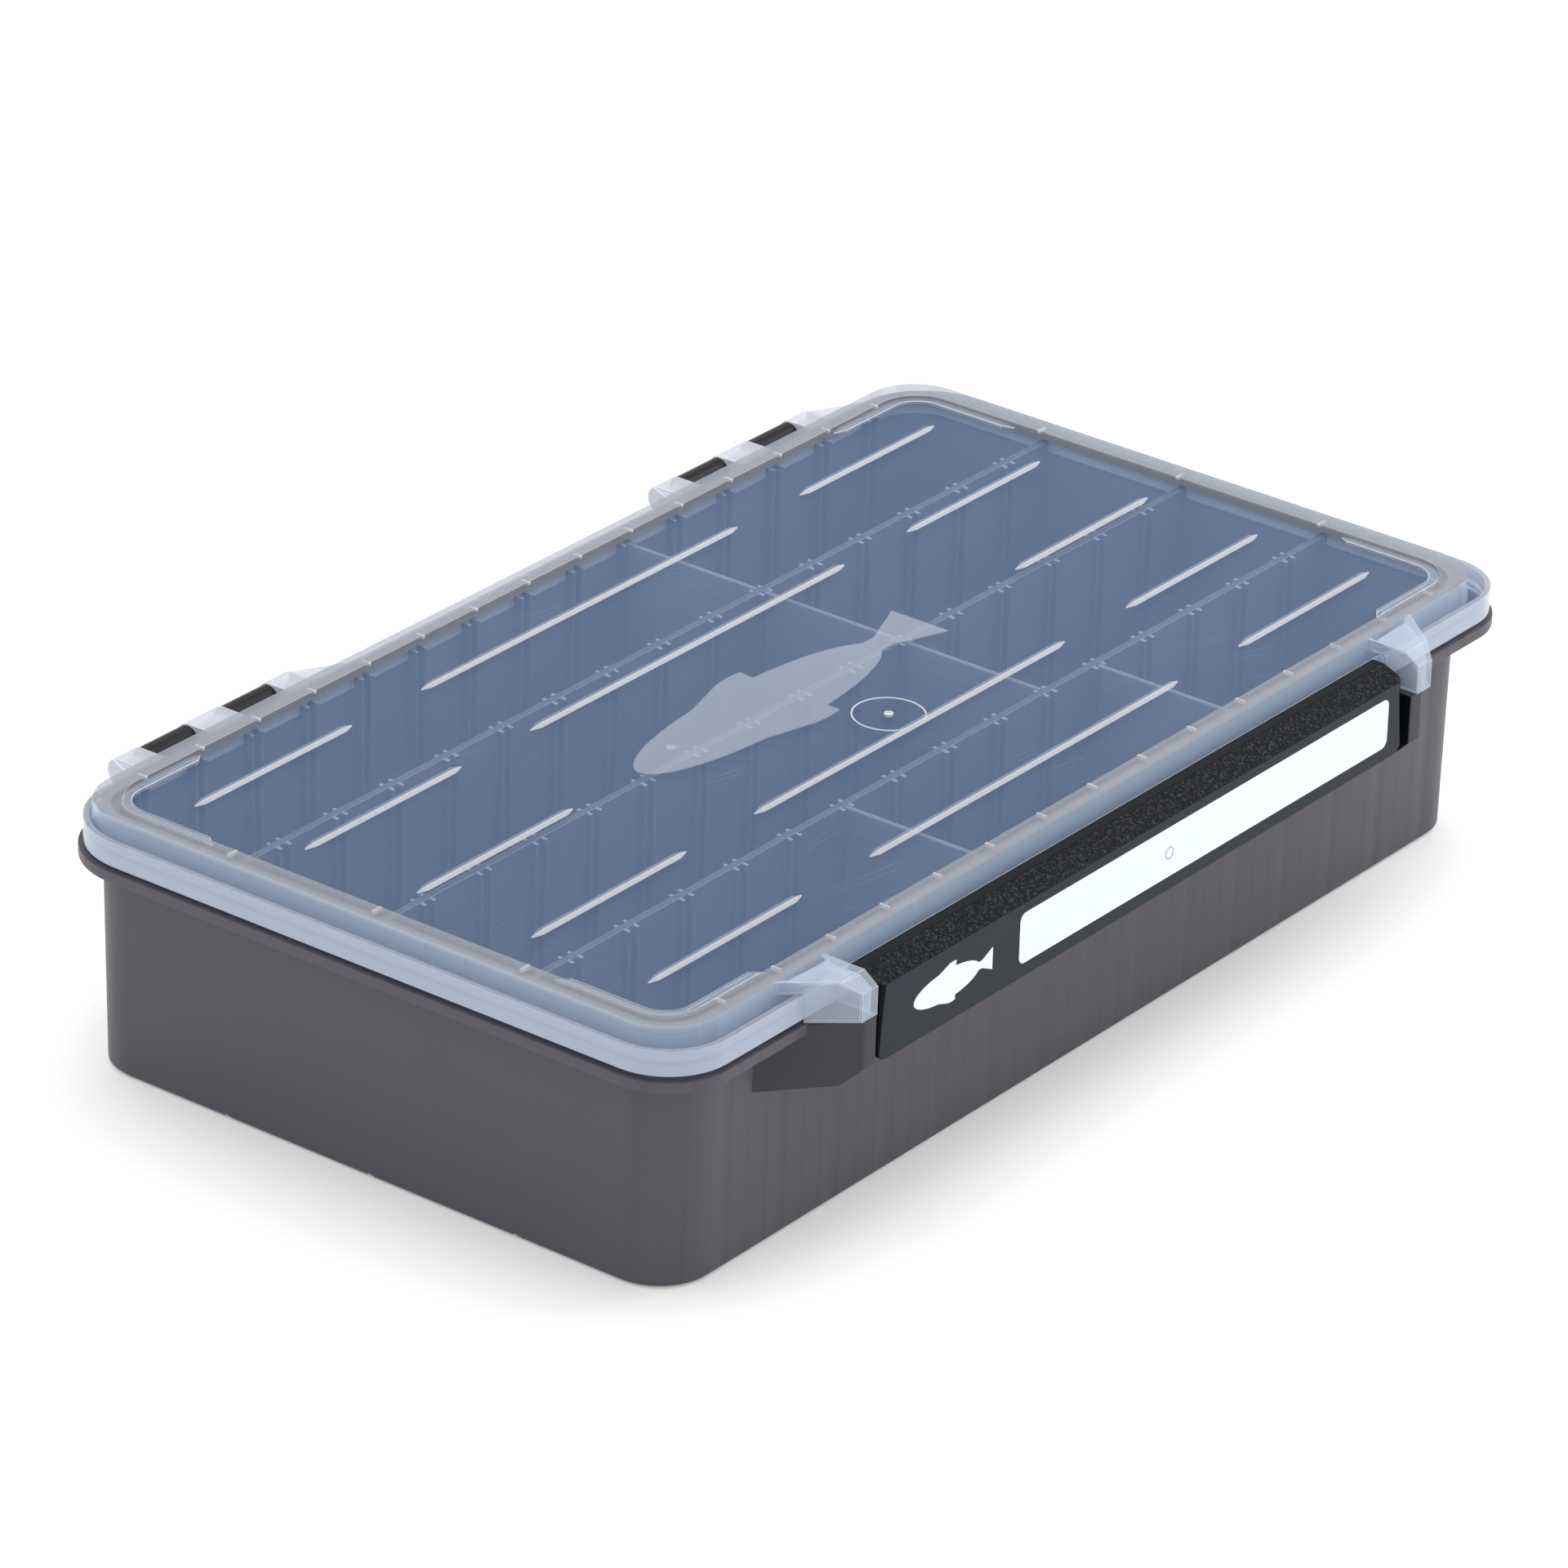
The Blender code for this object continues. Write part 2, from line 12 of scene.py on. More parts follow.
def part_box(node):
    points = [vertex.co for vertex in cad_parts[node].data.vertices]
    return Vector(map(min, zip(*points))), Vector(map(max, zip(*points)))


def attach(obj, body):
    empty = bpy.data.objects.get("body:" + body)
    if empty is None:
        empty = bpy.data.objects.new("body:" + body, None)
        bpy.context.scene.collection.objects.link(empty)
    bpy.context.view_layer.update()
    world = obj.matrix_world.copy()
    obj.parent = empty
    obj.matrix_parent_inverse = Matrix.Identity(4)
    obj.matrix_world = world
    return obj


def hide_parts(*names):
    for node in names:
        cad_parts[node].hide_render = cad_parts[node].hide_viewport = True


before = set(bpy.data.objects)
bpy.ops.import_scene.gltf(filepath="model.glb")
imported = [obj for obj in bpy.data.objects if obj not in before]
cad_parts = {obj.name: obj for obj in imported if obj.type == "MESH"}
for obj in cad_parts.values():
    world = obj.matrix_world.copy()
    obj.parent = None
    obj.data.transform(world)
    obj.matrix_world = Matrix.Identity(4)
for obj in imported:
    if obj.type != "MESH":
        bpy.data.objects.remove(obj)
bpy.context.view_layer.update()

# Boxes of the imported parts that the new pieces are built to
BASE_LOW, BASE_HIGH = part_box("base")
LID_LOW, LID_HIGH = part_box("lid")
LATCH_LOW, LATCH_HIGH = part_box("latch")
LABEL_LOW, LABEL_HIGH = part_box("label")

# How near to a level a face or an edge has to lie to be selected there
NEAR = 0.0001

# Tray
FLANGE_HALF_X = BASE_HIGH.x
FLANGE_HALF_Y = 0.1024
FLANGE_REAR_Y = 0.0994
FLANGE_FRONT_R = 0.0183
FLANGE_REAR_R = 0.023
FLANGE_LOW_Z = 0.059
FLANGE_TOP_Z = 0.062
FLANGE_WEB_Z = 0.060
FLANGE_LIP = 0.0016
FLANGE_OUT = 0.0082
WALL_THICK = 0.002
WALL_CORNER_R = 0.0148
WALL_TOP_Z = 0.0696
WALL_STEP_Z = 0.066
WALL_STEP = 0.0005
FLOOR_Z = 0.002
DRAFT = 0.0007
FOOT_CHAMFER = 0.001
WALL_HALF_X = FLANGE_HALF_X - FLANGE_OUT
WALL_HALF_Y = FLANGE_HALF_Y - FLANGE_OUT
CHANNEL_PITCH = 0.0461
CHANNEL_WALL_HALF = 0.001
CHANNEL_WALL_TOP_Z = 0.0693
SLOT_PITCH = 0.0214
SLOTS_EACH_SIDE = 7
RIB_NEAR = 0.00125
RIB_WIDE = 0.001
RIB_OUT = 0.0014
RIB_TIP_Z = 0.0690

# Ears of the tray, which carry the latch
EAR_IN_X = 0.1139
EAR_FRONT_X = 0.119
EAR_ROOT_X = 0.1399
EAR_FRONT_Y = BASE_LOW.y
EAR_LOW_Z = 0.0443
EAR_TOP_Z = 0.0618
EAR_CHAMFER = 0.0038

# Lid
LID_TOP_Z = LID_HIGH.z
PANEL_Z = 0.0713
PANEL_THICK = 0.0015
PANEL_FOOT_Z = PANEL_Z - 0.00005
RIM_IN_X = 0.1660
RIM_IN_Y = 0.0899
RIM_FRONT_IN_Y = 0.0910
RIM_WIDE = 0.006
LEDGE_Z = 0.06985
LEDGE_HALF_X = 0.1777
LEDGE_HALF_Y = 0.1016
LEDGE_REAR_Y = 0.0979
LEDGE_FRONT_R = 0.018
LEDGE_REAR_R = 0.0222
GROOVE_Z = 0.0664
GROOVE_ROOF_Z = 0.0652
SKIRT_LOW_Z = 0.0632
SKIRT_THICK = 0.0015
RIM_CORNER_R = 0.0152
RIM_IN_CORNER_R = 0.0128
SEAL_ROOF_Z = 0.0716
CATCH_Z = 0.0684
LID_EAR_IN_X = 0.1153
LID_EAR_FRONT_Y = LID_LOW.y
LID_EAR_LOW_Z = 0.0623
LID_EAR_WALL = 0.0012
LID_EAR_OUT_X = 0.1360
LID_EAR_TURN_X = 0.1212
LID_EAR_ROOT_X = 0.1352
LID_EAR_BROW_Y = -0.1083
LID_EAR_FIN_Y = -0.0985
RIDGE_POINT = 0.0032
RIDGE_HALF = 0.0011
RIDGE_TOP_Z = 0.0724
RIDGE_ROW_PITCH = 0.0358
RIDGE_OUTER = (0.0923, 0.1521)
RIDGE_INNER = 0.0651
GATE_RING_R = 0.0095
EMBLEM_LONG = 0.132
EMBLEM_HIGH = 0.025

# Hinges
HINGE_Y = 0.1062
HINGE_Z = 0.0656
KNUCKLE_R = 0.0037
HINGE_CENTRE_X = 0.1084
HOOK_LEN = 0.0176
KNUCKLE_END = 0.0090
KNUCKLE_MID = 0.0134
KNUCKLE_TAPER = 0.0185
KNUCKLE_STOP = 0.005
KNUCKLE_ROOT_Y = LEDGE_REAR_Y - 0.0005

# Latch
LATCH_HALF_X = LATCH_HIGH.x
LATCH_FACE_Y = LATCH_LOW.y
LATCH_LOW_Z = LATCH_LOW.z
LATCH_TOP_Z = LATCH_HIGH.z
GRIP_LOW_Z = 0.0672
GRIP_BACK_Y = -0.1040
LATCH_WALL = 0.0013
LATCH_BACK_Y = -0.1032
LATCH_FOOT_R = 0.003
LATCH_END_R = 0.0026
FACE_MARKS_Z = 0.0572
LABEL_RING_X = 0.008
FACE_FISH_X = -0.0800
FACE_FISH_LONG = 0.036
FACE_FISH_HIGH = 0.0082


# ---------------------------------------------------------------- mesh tools


def deselect_all():
    if bpy.context.mode != "OBJECT":
        bpy.ops.object.mode_set(mode="OBJECT")
    bpy.ops.object.select_all(action="DESELECT")


def make_active(piece):
    deselect_all()
    piece.select_set(True)
    bpy.context.view_layer.objects.active = piece


def settle(piece):
    """Move the piece's place, turn and size into its mesh."""
    make_active(piece)
    bpy.ops.object.transform_apply(location=True, rotation=True, scale=True)


def name_active(name):
    piece = bpy.context.object
    piece.name = name
    piece.data.name = name
    return piece


def add_block(name, corner, other):
    deselect_all()
    corner, other = Vector(corner), Vector(other)
    bpy.ops.mesh.primitive_cube_add(size=1.0, location=(corner + other) / 2.0)
    piece = name_active(name)
    piece.scale = [abs(a - b) for a, b in zip(corner, other)]
    settle(piece)
    return piece


def select_parts(piece, kind, test):
    """Open the piece in edit mode and select its faces (place, normal) or edges (end, end) by a test."""
    make_active(piece)
    bpy.ops.object.mode_set(mode="EDIT")
    bpy.ops.mesh.select_mode(type=kind)
    bpy.ops.mesh.select_all(action="DESELECT")
    mesh = bmesh.from_edit_mesh(piece.data)
    if kind == "FACE":
        for face in mesh.faces:
            if test(face.calc_center_median(), face.normal):
                face.select_set(True)
    else:
        for edge in mesh.edges:
            if test(edge.verts[0].co, edge.verts[1].co):
                edge.select_set(True)
    bmesh.update_edit_mesh(piece.data)


def select_whole(piece):
    make_active(piece)
    bpy.ops.object.mode_set(mode="EDIT")
    bpy.ops.mesh.select_all(action="SELECT")


def inset(width):
    bpy.ops.mesh.inset(thickness=width, depth=0.0)


def pull(x=0.0, y=0.0, z=0.0):
    bpy.ops.mesh.extrude_region_move(TRANSFORM_OT_translate={"value": (x, y, z)})


def widen(piece, half_x, half_y):
    """Resize the selected loop to these half lengths about the box's centre line."""
    mesh = bmesh.from_edit_mesh(piece.data)
    now_x = max(v.co.x for v in mesh.verts if v.select)
    now_y = max(v.co.y for v in mesh.verts if v.select)
    bpy.ops.transform.resize(value=(half_x / now_x, half_y / now_y, 1.0), center_override=(0, 0, 0))


def bevel_edges(piece, test, width, steps):
    select_parts(piece, "EDGE", test)
    bpy.ops.mesh.bevel(offset=width, segments=steps, affect="EDGES", clamp_overlap=False)
    deselect_all()


def delete_faces(piece, test):
    select_parts(piece, "FACE", test)
    bpy.ops.mesh.delete(type="FACE")
    deselect_all()


def slice_off(piece, point, outward):
    """Cut away what lies beyond a plane and close the cut."""
    select_whole(piece)
    bpy.ops.mesh.bisect(plane_co=point, plane_no=Vector(outward).normalized(), use_fill=True,
                        clear_outer=True)
    bpy.ops.mesh.select_all(action="SELECT")
    bpy.ops.mesh.normals_make_consistent(inside=False)
    deselect_all()


def score(piece, point, normal):
    """Add a line of edges where a plane crosses the piece."""
    select_whole(piece)
    bpy.ops.mesh.bisect(plane_co=point, plane_no=normal, use_fill=False)
    deselect_all()


def face_outwards(piece):
    select_whole(piece)
    bpy.ops.mesh.remove_doubles(threshold=0.00001)
    bpy.ops.mesh.normals_make_consistent(inside=False)
    deselect_all()


def apply_step(piece, kind, **settings):
    make_active(piece)
    step = piece.modifiers.new(kind.title(), kind)
    for key, value in settings.items():
        setattr(step, key, value)
    bpy.ops.object.modifier_apply(modifier=step.name)


def cut_with(piece, tool, operation="DIFFERENCE"):
    """Combine a piece with a tool body, which is used up."""
    apply_step(piece, "BOOLEAN", operation=operation, solver="EXACT", object=tool)
    bpy.data.objects.remove(tool, do_unlink=True)


def soften(piece, width, steps=2, degrees=34.0, edge_material=-1):
    """Round the hard edges, then shade the piece smooth."""
    apply_step(piece, "BEVEL", width=width, segments=steps, limit_method="ANGLE",
               angle_limit=math.radians(degrees), material=edge_material, use_clamp_overlap=True)
    shade(piece)


def shade(piece, degrees=38.0):
    make_active(piece)
    bpy.ops.object.shade_smooth_by_angle(angle=math.radians(degrees))
    apply_step(piece, "WEIGHTED_NORMAL", keep_sharp=True)


def join(name, pieces):
    deselect_all()
    for piece in pieces:
        piece.select_set(True)
    bpy.context.view_layer.objects.active = pieces[0]
    bpy.ops.object.join()
    return name_active(name)


def array_along_x(piece, count, pitch):
    apply_step(piece, "ARRAY", count=count, use_relative_offset=False,
               use_constant_offset=True, constant_offset_displace=(pitch, 0.0, 0.0))


def paint(piece, *materials):
    piece.data.materials.clear()
    for material in materials:
        piece.data.materials.append(material)


def put_on(piece, body, slot, *nodes):
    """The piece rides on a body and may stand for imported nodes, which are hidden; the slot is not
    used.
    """
    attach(piece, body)
    if nodes:
        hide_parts(*nodes)


# ---------------------------------------------------------------- finishes


def add_node(tree, kind, **settings):
    node = tree.nodes.new(kind)
    for key, value in settings.items():
        setattr(node, key, value)
    return node


def new_group(name, numbers, outputs):
    """An effect group: its number inputs with their values, and its outputs with their socket types."""
    tree = bpy.data.node_groups.new(name, "ShaderNodeTree")
    for socket, value in numbers.items():
        made = tree.interface.new_socket(name=socket, in_out="INPUT", socket_type="NodeSocketFloat")
        made.default_value = value
    for socket, kind in outputs.items():
        tree.interface.new_socket(name=socket, in_out="OUTPUT", socket_type=kind)
    return tree, tree.nodes.new("NodeGroupInput"), tree.nodes.new("NodeGroupOutput")


def make_grain_group():
    """Fine moulded texture: a bump normal and an uneven mask."""
    tree, given, out = new_group("moulded_grain", {"Scale": 900.0, "Depth": 0.00002, "Patch": 18.0},
                                 {"Normal": "NodeSocketVector", "Mask": "NodeSocketFloat"})
    place = add_node(tree, "ShaderNodeTexCoord")
    grain = add_node(tree, "ShaderNodeTexNoise")
    grain.inputs["Detail"].default_value = 3.0
    patch = add_node(tree, "ShaderNodeTexNoise")
    patch.inputs["Detail"].default_value = 4.0
    bump = add_node(tree, "ShaderNodeBump")
    links = tree.links
    links.new(place.outputs["Object"], grain.inputs["Vector"])
    links.new(place.outputs["Object"], patch.inputs["Vector"])
    links.new(given.outputs["Scale"], grain.inputs["Scale"])
    links.new(given.outputs["Patch"], patch.inputs["Scale"])
    links.new(given.outputs["Depth"], bump.inputs["Distance"])
    links.new(grain.outputs["Fac"], bump.inputs["Height"])
    links.new(bump.outputs["Normal"], out.inputs["Normal"])
    links.new(patch.outputs["Fac"], out.inputs["Mask"])
    return tree


def make_pebble_group():
    """Leathery pebbles, as etched into a grip."""
    tree, given, out = new_group("pebbles", {"Scale": 1300.0, "Depth": 0.00012},
                                 {"Normal": "NodeSocketVector", "Mask": "NodeSocketFloat"})
    place = add_node(tree, "ShaderNodeTexCoord")
    cells = add_node(tree, "ShaderNodeTexNoise")
    cells.inputs["Detail"].default_value = 1.0
    bump = add_node(tree, "ShaderNodeBump")
    links = tree.links
    links.new(place.outputs["Object"], cells.inputs["Vector"])
    links.new(given.outputs["Scale"], cells.inputs["Scale"])
    links.new(given.outputs["Depth"], bump.inputs["Distance"])
    links.new(cells.outputs["Fac"], bump.inputs["Height"])
    links.new(bump.outputs["Normal"], out.inputs["Normal"])
    links.new(cells.outputs["Fac"], out.inputs["Mask"])
    return tree


def make_scratch_group():
    """Thin broken scratches in two directions."""
    tree, given, out = new_group("handling_scratches", {"Scale": 60.0, "Width": 0.03},
                                 {"Mask": "NodeSocketFloat"})
    place = add_node(tree, "ShaderNodeTexCoord")
    links = tree.links
    masks = []
    for turn, stretch in ((0.55, 0.9), (-0.35, 1.3)):
        turned = add_node(tree, "ShaderNodeMapping")
        turned.inputs["Rotation"].default_value = (0.0, 0.0, turn)
        turned.inputs["Scale"].default_value = (0.35, stretch, 1.0)
        lines = add_node(tree, "ShaderNodeTexWave", bands_direction="Y")
        lines.inputs["Distortion"].default_value = 6.0
        lines.inputs["Detail"].default_value = 2.0
        lines.inputs["Detail Scale"].default_value = 0.7
        thin = add_node(tree, "ShaderNodeMapRange")
        break_up = add_node(tree, "ShaderNodeTexNoise")
        break_up.inputs["Scale"].default_value = 22.0 * stretch
        only = add_node(tree, "ShaderNodeMapRange")
        only.inputs["From Min"].default_value = 0.56
        only.inputs["From Max"].default_value = 0.66
        narrow = add_node(tree, "ShaderNodeMath", operation="SUBTRACT")
        narrow.inputs[0].default_value = 1.0
        both = add_node(tree, "ShaderNodeMath", operation="MULTIPLY")
        links.new(place.outputs["Object"], turned.inputs["Vector"])
        links.new(turned.outputs["Vector"], lines.inputs["Vector"])
        links.new(given.outputs["Scale"], lines.inputs["Scale"])
        links.new(lines.outputs["Fac"], thin.inputs["Value"])
        links.new(given.outputs["Width"], narrow.inputs[1])
        links.new(narrow.outputs[0], thin.inputs["From Min"])
        thin.inputs["From Max"].default_value = 1.0
        links.new(place.outputs["Object"], break_up.inputs["Vector"])
        links.new(break_up.outputs["Fac"], only.inputs["Value"])
        links.new(thin.outputs["Result"], both.inputs[0])
        links.new(only.outputs["Result"], both.inputs[1])
        masks.append(both)
    top = add_node(tree, "ShaderNodeMath", operation="MAXIMUM")
    links.new(masks[0].outputs[0], top.inputs[0])
    links.new(masks[1].outputs[0], top.inputs[1])
    links.new(top.outputs[0], out.inputs["Mask"])
    return tree


def make_sink_group():
    """Shallow upright sink lines where walls and ribs meet the outside from within."""
    tree, given, out = new_group("sink_lines", {"Pitch": SLOT_PITCH, "Width": 0.0012, "Start": 0.0},
                                 {"Line": "NodeSocketFloat"})
    place = add_node(tree, "ShaderNodeTexCoord")
    split = add_node(tree, "ShaderNodeSeparateXYZ")
    moved = add_node(tree, "ShaderNodeMath", operation="ADD")
    wrapped = add_node(tree, "ShaderNodeMath", operation="PINGPONG")
    half = add_node(tree, "ShaderNodeMath", operation="MULTIPLY")
    half.inputs[1].default_value = 0.5
    line = add_node(tree, "ShaderNodeMapRange", interpolation_type="SMOOTHSTEP")
    line.inputs["To Min"].default_value = 1.0
    line.inputs["To Max"].default_value = 0.0
    links = tree.links
    links.new(place.outputs["Object"], split.inputs[0])
    links.new(split.outputs["X"], moved.inputs[0])
    links.new(given.outputs["Start"], moved.inputs[1])
    links.new(given.outputs["Pitch"], half.inputs[0])
    links.new(moved.outputs[0], wrapped.inputs[0])
    links.new(half.outputs[0], wrapped.inputs[1])
    links.new(wrapped.outputs[0], line.inputs["Value"])
    links.new(given.outputs["Width"], line.inputs["From Max"])
    links.new(line.outputs["Result"], out.inputs["Line"])
    return tree


GRAIN = make_grain_group()
PEBBLES = make_pebble_group()
SCRATCHES = make_scratch_group()
SINK_LINES = make_sink_group()


def new_finish(name, colour, roughness, **sockets):
    """A material with its own Principled shader; returns the material, its node tree and the shader."""
    material = bpy.data.materials.new(name)
    material.use_nodes = True
    shader = material.node_tree.nodes["Principled BSDF"]
    shader.inputs["Base Color"].default_value = (*colour, 1.0)
    shader.inputs["Roughness"].default_value = roughness
    for socket, value in sockets.items():
        shader.inputs[socket.replace("_", " ")].default_value = value
    return material, material.node_tree, shader


def use_group(tree, group, **values):
    node = add_node(tree, "ShaderNodeGroup", node_tree=group)
    for socket, value in values.items():
        node.inputs[socket].default_value = value
    return node


def mix_colours(tree, mask, low, high):
    mix = add_node(tree, "ShaderNodeMix", data_type="RGBA")
    mix.inputs[6].default_value = (*low, 1.0)
    mix.inputs[7].default_value = (*high, 1.0)
    tree.links.new(mask, mix.inputs[0])
    return mix.outputs[2]


def spread(tree, mask, low, high, start=0.3, end=0.7):
    """Turn a mask into a value between low and high."""
    span = add_node(tree, "ShaderNodeMapRange")
    span.inputs["From Min"].default_value = start
    span.inputs["From Max"].default_value = end
    span.inputs["To Min"].default_value = low
    span.inputs["To Max"].default_value = high
    tree.links.new(mask, span.inputs["Value"])
    return span.outputs["Result"]


def opaque_plastic(name, colour, tint, roughness, scale=1400.0, depth=0.00001, **sockets):
    """Moulded plastic: fine grain, patches a little lighter, uneven gloss."""
    material, tree, shader = new_finish(name, colour, roughness, **sockets)
    grain = use_group(tree, GRAIN, Scale=scale, Depth=depth)
    patch = spread(tree, grain.outputs["Mask"], 0.0, 1.0)
    tree.links.new(mix_colours(tree, patch, colour, tint), shader.inputs["Base Color"])
    gloss = spread(tree, grain.outputs["Mask"], roughness - 0.04, roughness + 0.05)
    tree.links.new(gloss, shader.inputs["Roughness"])
    tree.links.new(grain.outputs["Normal"], shader.inputs["Normal"])
    return material


DRAG_TINT = (0.060, 0.054, 0.070)


def make_tray_plastic():
    """The tray's grey: moulded plastic with faint upright sink lines on its outside."""
    low, high = (0.078, 0.070, 0.088), (0.087, 0.079, 0.098)
    material, tree, shader = new_finish("tray_grey", low, 0.42, Specular_IOR_Level=0.3)
    grain = use_group(tree, GRAIN, Scale=1500.0, Depth=0.000012)
    ribs = use_group(tree, SINK_LINES, Pitch=SLOT_PITCH, Width=0.0042)
    patch = spread(tree, grain.outputs["Mask"], 0.0, 1.0)
    drag = use_group(tree, SINK_LINES, Pitch=0.0073, Width=0.0011, Start=0.0016)
    coat = mix_colours(tree, spread(tree, drag.outputs["Line"], 0.0, 0.35, 0.0, 1.0), low, DRAG_TINT)
    tree.links.new(mix_colours(tree, patch, low, high), coat.node.inputs[6])
    tree.links.new(coat, shader.inputs["Base Color"])
    tree.links.new(spread(tree, grain.outputs["Mask"], 0.38, 0.47), shader.inputs["Roughness"])
    sink = add_node(tree, "ShaderNodeBump", invert=True)
    sink.inputs["Distance"].default_value = 0.00014
    tree.links.new(ribs.outputs["Line"], sink.inputs["Height"])
    tree.links.new(grain.outputs["Normal"], sink.inputs["Normal"])
    tree.links.new(sink.outputs["Normal"], shader.inputs["Normal"])
    return material


def clear_plastic(name, colour, alpha, edge_alpha, roughness=0.12, scratch=0.0, **sockets):
    """Thin clear plastic: see-through face on, milkier at a glancing angle, with faint scratches."""
    material, tree, shader = new_finish(name, colour, roughness, **sockets)
    facing = add_node(tree, "ShaderNodeLayerWeight")
    facing.inputs["Blend"].default_value = 0.35
    veil = spread(tree, facing.outputs["Facing"], alpha, edge_alpha, 0.1, 1.0)
    grain = use_group(tree, GRAIN, Scale=220.0, Depth=0.000002, Patch=9.0)
    tree.links.new(grain.outputs["Normal"], shader.inputs["Normal"])
    milky = tuple(min(1.0, 0.12 + 0.95 * part) for part in colour)
    marks = use_group(tree, SCRATCHES, Scale=34.0, Width=0.004)
    amount = spread(tree, marks.outputs["Mask"], 0.0, scratch, 0.0, 1.0)
    total = add_node(tree, "ShaderNodeMath", operation="ADD", use_clamp=True)
    tree.links.new(veil, total.inputs[0])
    tree.links.new(amount, total.inputs[1])
    tree.links.new(total.outputs[0], shader.inputs["Alpha"])
    patch = spread(tree, grain.outputs["Mask"], 0.0, 0.35)
    tree.links.new(mix_colours(tree, patch, colour, milky), shader.inputs["Base Color"])
    return material


TRAY_GREY = make_tray_plastic()
INSIDE_GREY = opaque_plastic("inside_grey", (0.115, 0.108, 0.122), (0.135, 0.128, 0.145), 0.4,
                             depth=0.000001)
DIVIDER_GREY = opaque_plastic("divider_grey", (0.15, 0.155, 0.18), (0.18, 0.185, 0.21), 0.35)
# Painted light: the upper band of the tray's inner wall is a much lighter copy of the inside grey,
# standing for the extra light that band gets.
WALL_BAND_PAINTED_LIGHT = opaque_plastic("wall_band_painted_light", (0.52, 0.56, 0.60), (0.56, 0.60, 0.64), 0.45)
# Painted shade: the tray's ears take a darker copy of the tray grey, standing for the shade they sit in
# under the lid's ears.
EAR_GREY_PAINTED_SHADE = opaque_plastic("ear_grey_painted_shade", (0.046, 0.040, 0.052), (0.054, 0.047, 0.060), 0.5,
                          Specular_IOR_Level=0.2)
# Painted highlight: the tips of the slot ribs take a light blue-grey that stands for the light they
# catch.
TIP_GREY_PAINTED_HIGHLIGHT = opaque_plastic("tip_grey_painted_highlight", (0.30, 0.34, 0.38), (0.34, 0.38, 0.42), 0.5)
TOP_GREY = opaque_plastic("top_grey", (0.060, 0.060, 0.064), (0.070, 0.070, 0.074), 0.55)
PANEL_CLEAR = clear_plastic("panel_clear", (0.21, 0.36, 0.63), 0.09, 0.30, 0.2, 0.12)
RIM_CLEAR = clear_plastic("rim_clear", (0.36, 0.37, 0.43), 0.40, 0.55, 0.14, 0.1)
LEDGE_CLEAR = clear_plastic("ledge_clear", (0.60, 0.73, 0.90), 0.52, 0.72, 0.16, 0.06)
SKIRT_CLEAR = clear_plastic("skirt_clear", (0.43, 0.50, 0.63), 0.74, 0.85, 0.16, 0.06)
KNUCKLE_CLEAR = clear_plastic("knuckle_clear", (0.60, 0.61, 0.70), 0.55, 0.80, 0.2)
# Painted highlight: a near-white, nearly opaque clear for the bright lines of light along the clear
# parts' edges and on their small raised marks.
PAINTED_EDGE_HIGHLIGHT = clear_plastic("painted_edge_highlight", (0.78, 0.79, 0.84), 0.78, 0.92, 0.16)
RIDGE_CLEAR = clear_plastic("ridge_clear", (0.52, 0.60, 0.72), 0.12, 0.4, 0.2)
EMBLEM_FROST = clear_plastic("emblem_frost", (0.60, 0.66, 0.75), 0.12, 0.35, 0.45)
SEAL_PALE = opaque_plastic("seal_pale", (0.34, 0.38, 0.44), (0.38, 0.42, 0.48), 0.5)
LATCH_BLACK = opaque_plastic("latch_black", (0.0035, 0.005, 0.007), (0.005, 0.007, 0.009), 0.3,
                             Specular_IOR_Level=0.06)
LATCH_FACE = opaque_plastic("latch_face", (0.026, 0.031, 0.039), (0.031, 0.036, 0.045), 0.34,
                            Specular_IOR_Level=0.06)
HINGE_BLACK = opaque_plastic("hinge_black", (0.010, 0.009, 0.012), (0.014, 0.012, 0.016), 0.34,
                             Specular_IOR_Level=0.15)
PIN_CLEAR = opaque_plastic("pin_clear", (0.60, 0.64, 0.70), (0.68, 0.72, 0.77), 0.25)
LABEL_WHITE = opaque_plastic("label_white", (0.80, 0.86, 0.88), (0.84, 0.89, 0.91), 0.5)
PRINT_WHITE = opaque_plastic("print_white", (0.82, 0.84, 0.85), (0.86, 0.88, 0.89), 0.55)
LABEL_MARK = opaque_plastic("label_mark", (0.14, 0.15, 0.17), (0.18, 0.19, 0.21), 0.5)


def make_grip_plastic():
    low, high = (0.003, 0.004, 0.006), (0.036, 0.041, 0.046)
    material, tree, shader = new_finish("latch_grip", low, 0.38, Specular_IOR_Level=0.06)
    pebbles = use_group(tree, PEBBLES, Scale=1250.0, Depth=0.0003)
    # The pebble tops are painted lighter: a painted highlight for the glints on the pebbles.
    glint_peaks = spread(tree, pebbles.outputs["Mask"], 0.0, 1.0, 0.5, 0.72)
    tree.links.new(mix_colours(tree, glint_peaks, low, high), shader.inputs["Base Color"])
    tree.links.new(pebbles.outputs["Normal"], shader.inputs["Normal"])
    return material


LATCH_GRIP = make_grip_plastic()


# ---------------------------------------------------------------- shapes shared by tray and lid


def upright(a, b):
    return abs(a.z - b.z) > 0.5 * (a - b).length and (a - b).length > 0.001


def rounded_block(name, half_x, front_y, rear_y, low_z, high_z, front_r, rear_r, steps=12):
    """A block from -front_y to rear_y with its upright edges rounded."""
    piece = add_block(name, (-half_x, -front_y, low_z), (half_x, rear_y, high_z))
    bevel_edges(piece, lambda a, b: upright(a, b) and a.y < 0.0, front_r, steps)
    bevel_edges(piece, lambda a, b: upright(a, b) and a.y > rear_y - 0.001 and abs(a.x) > half_x - 0.001,
                rear_r, steps)
    return piece


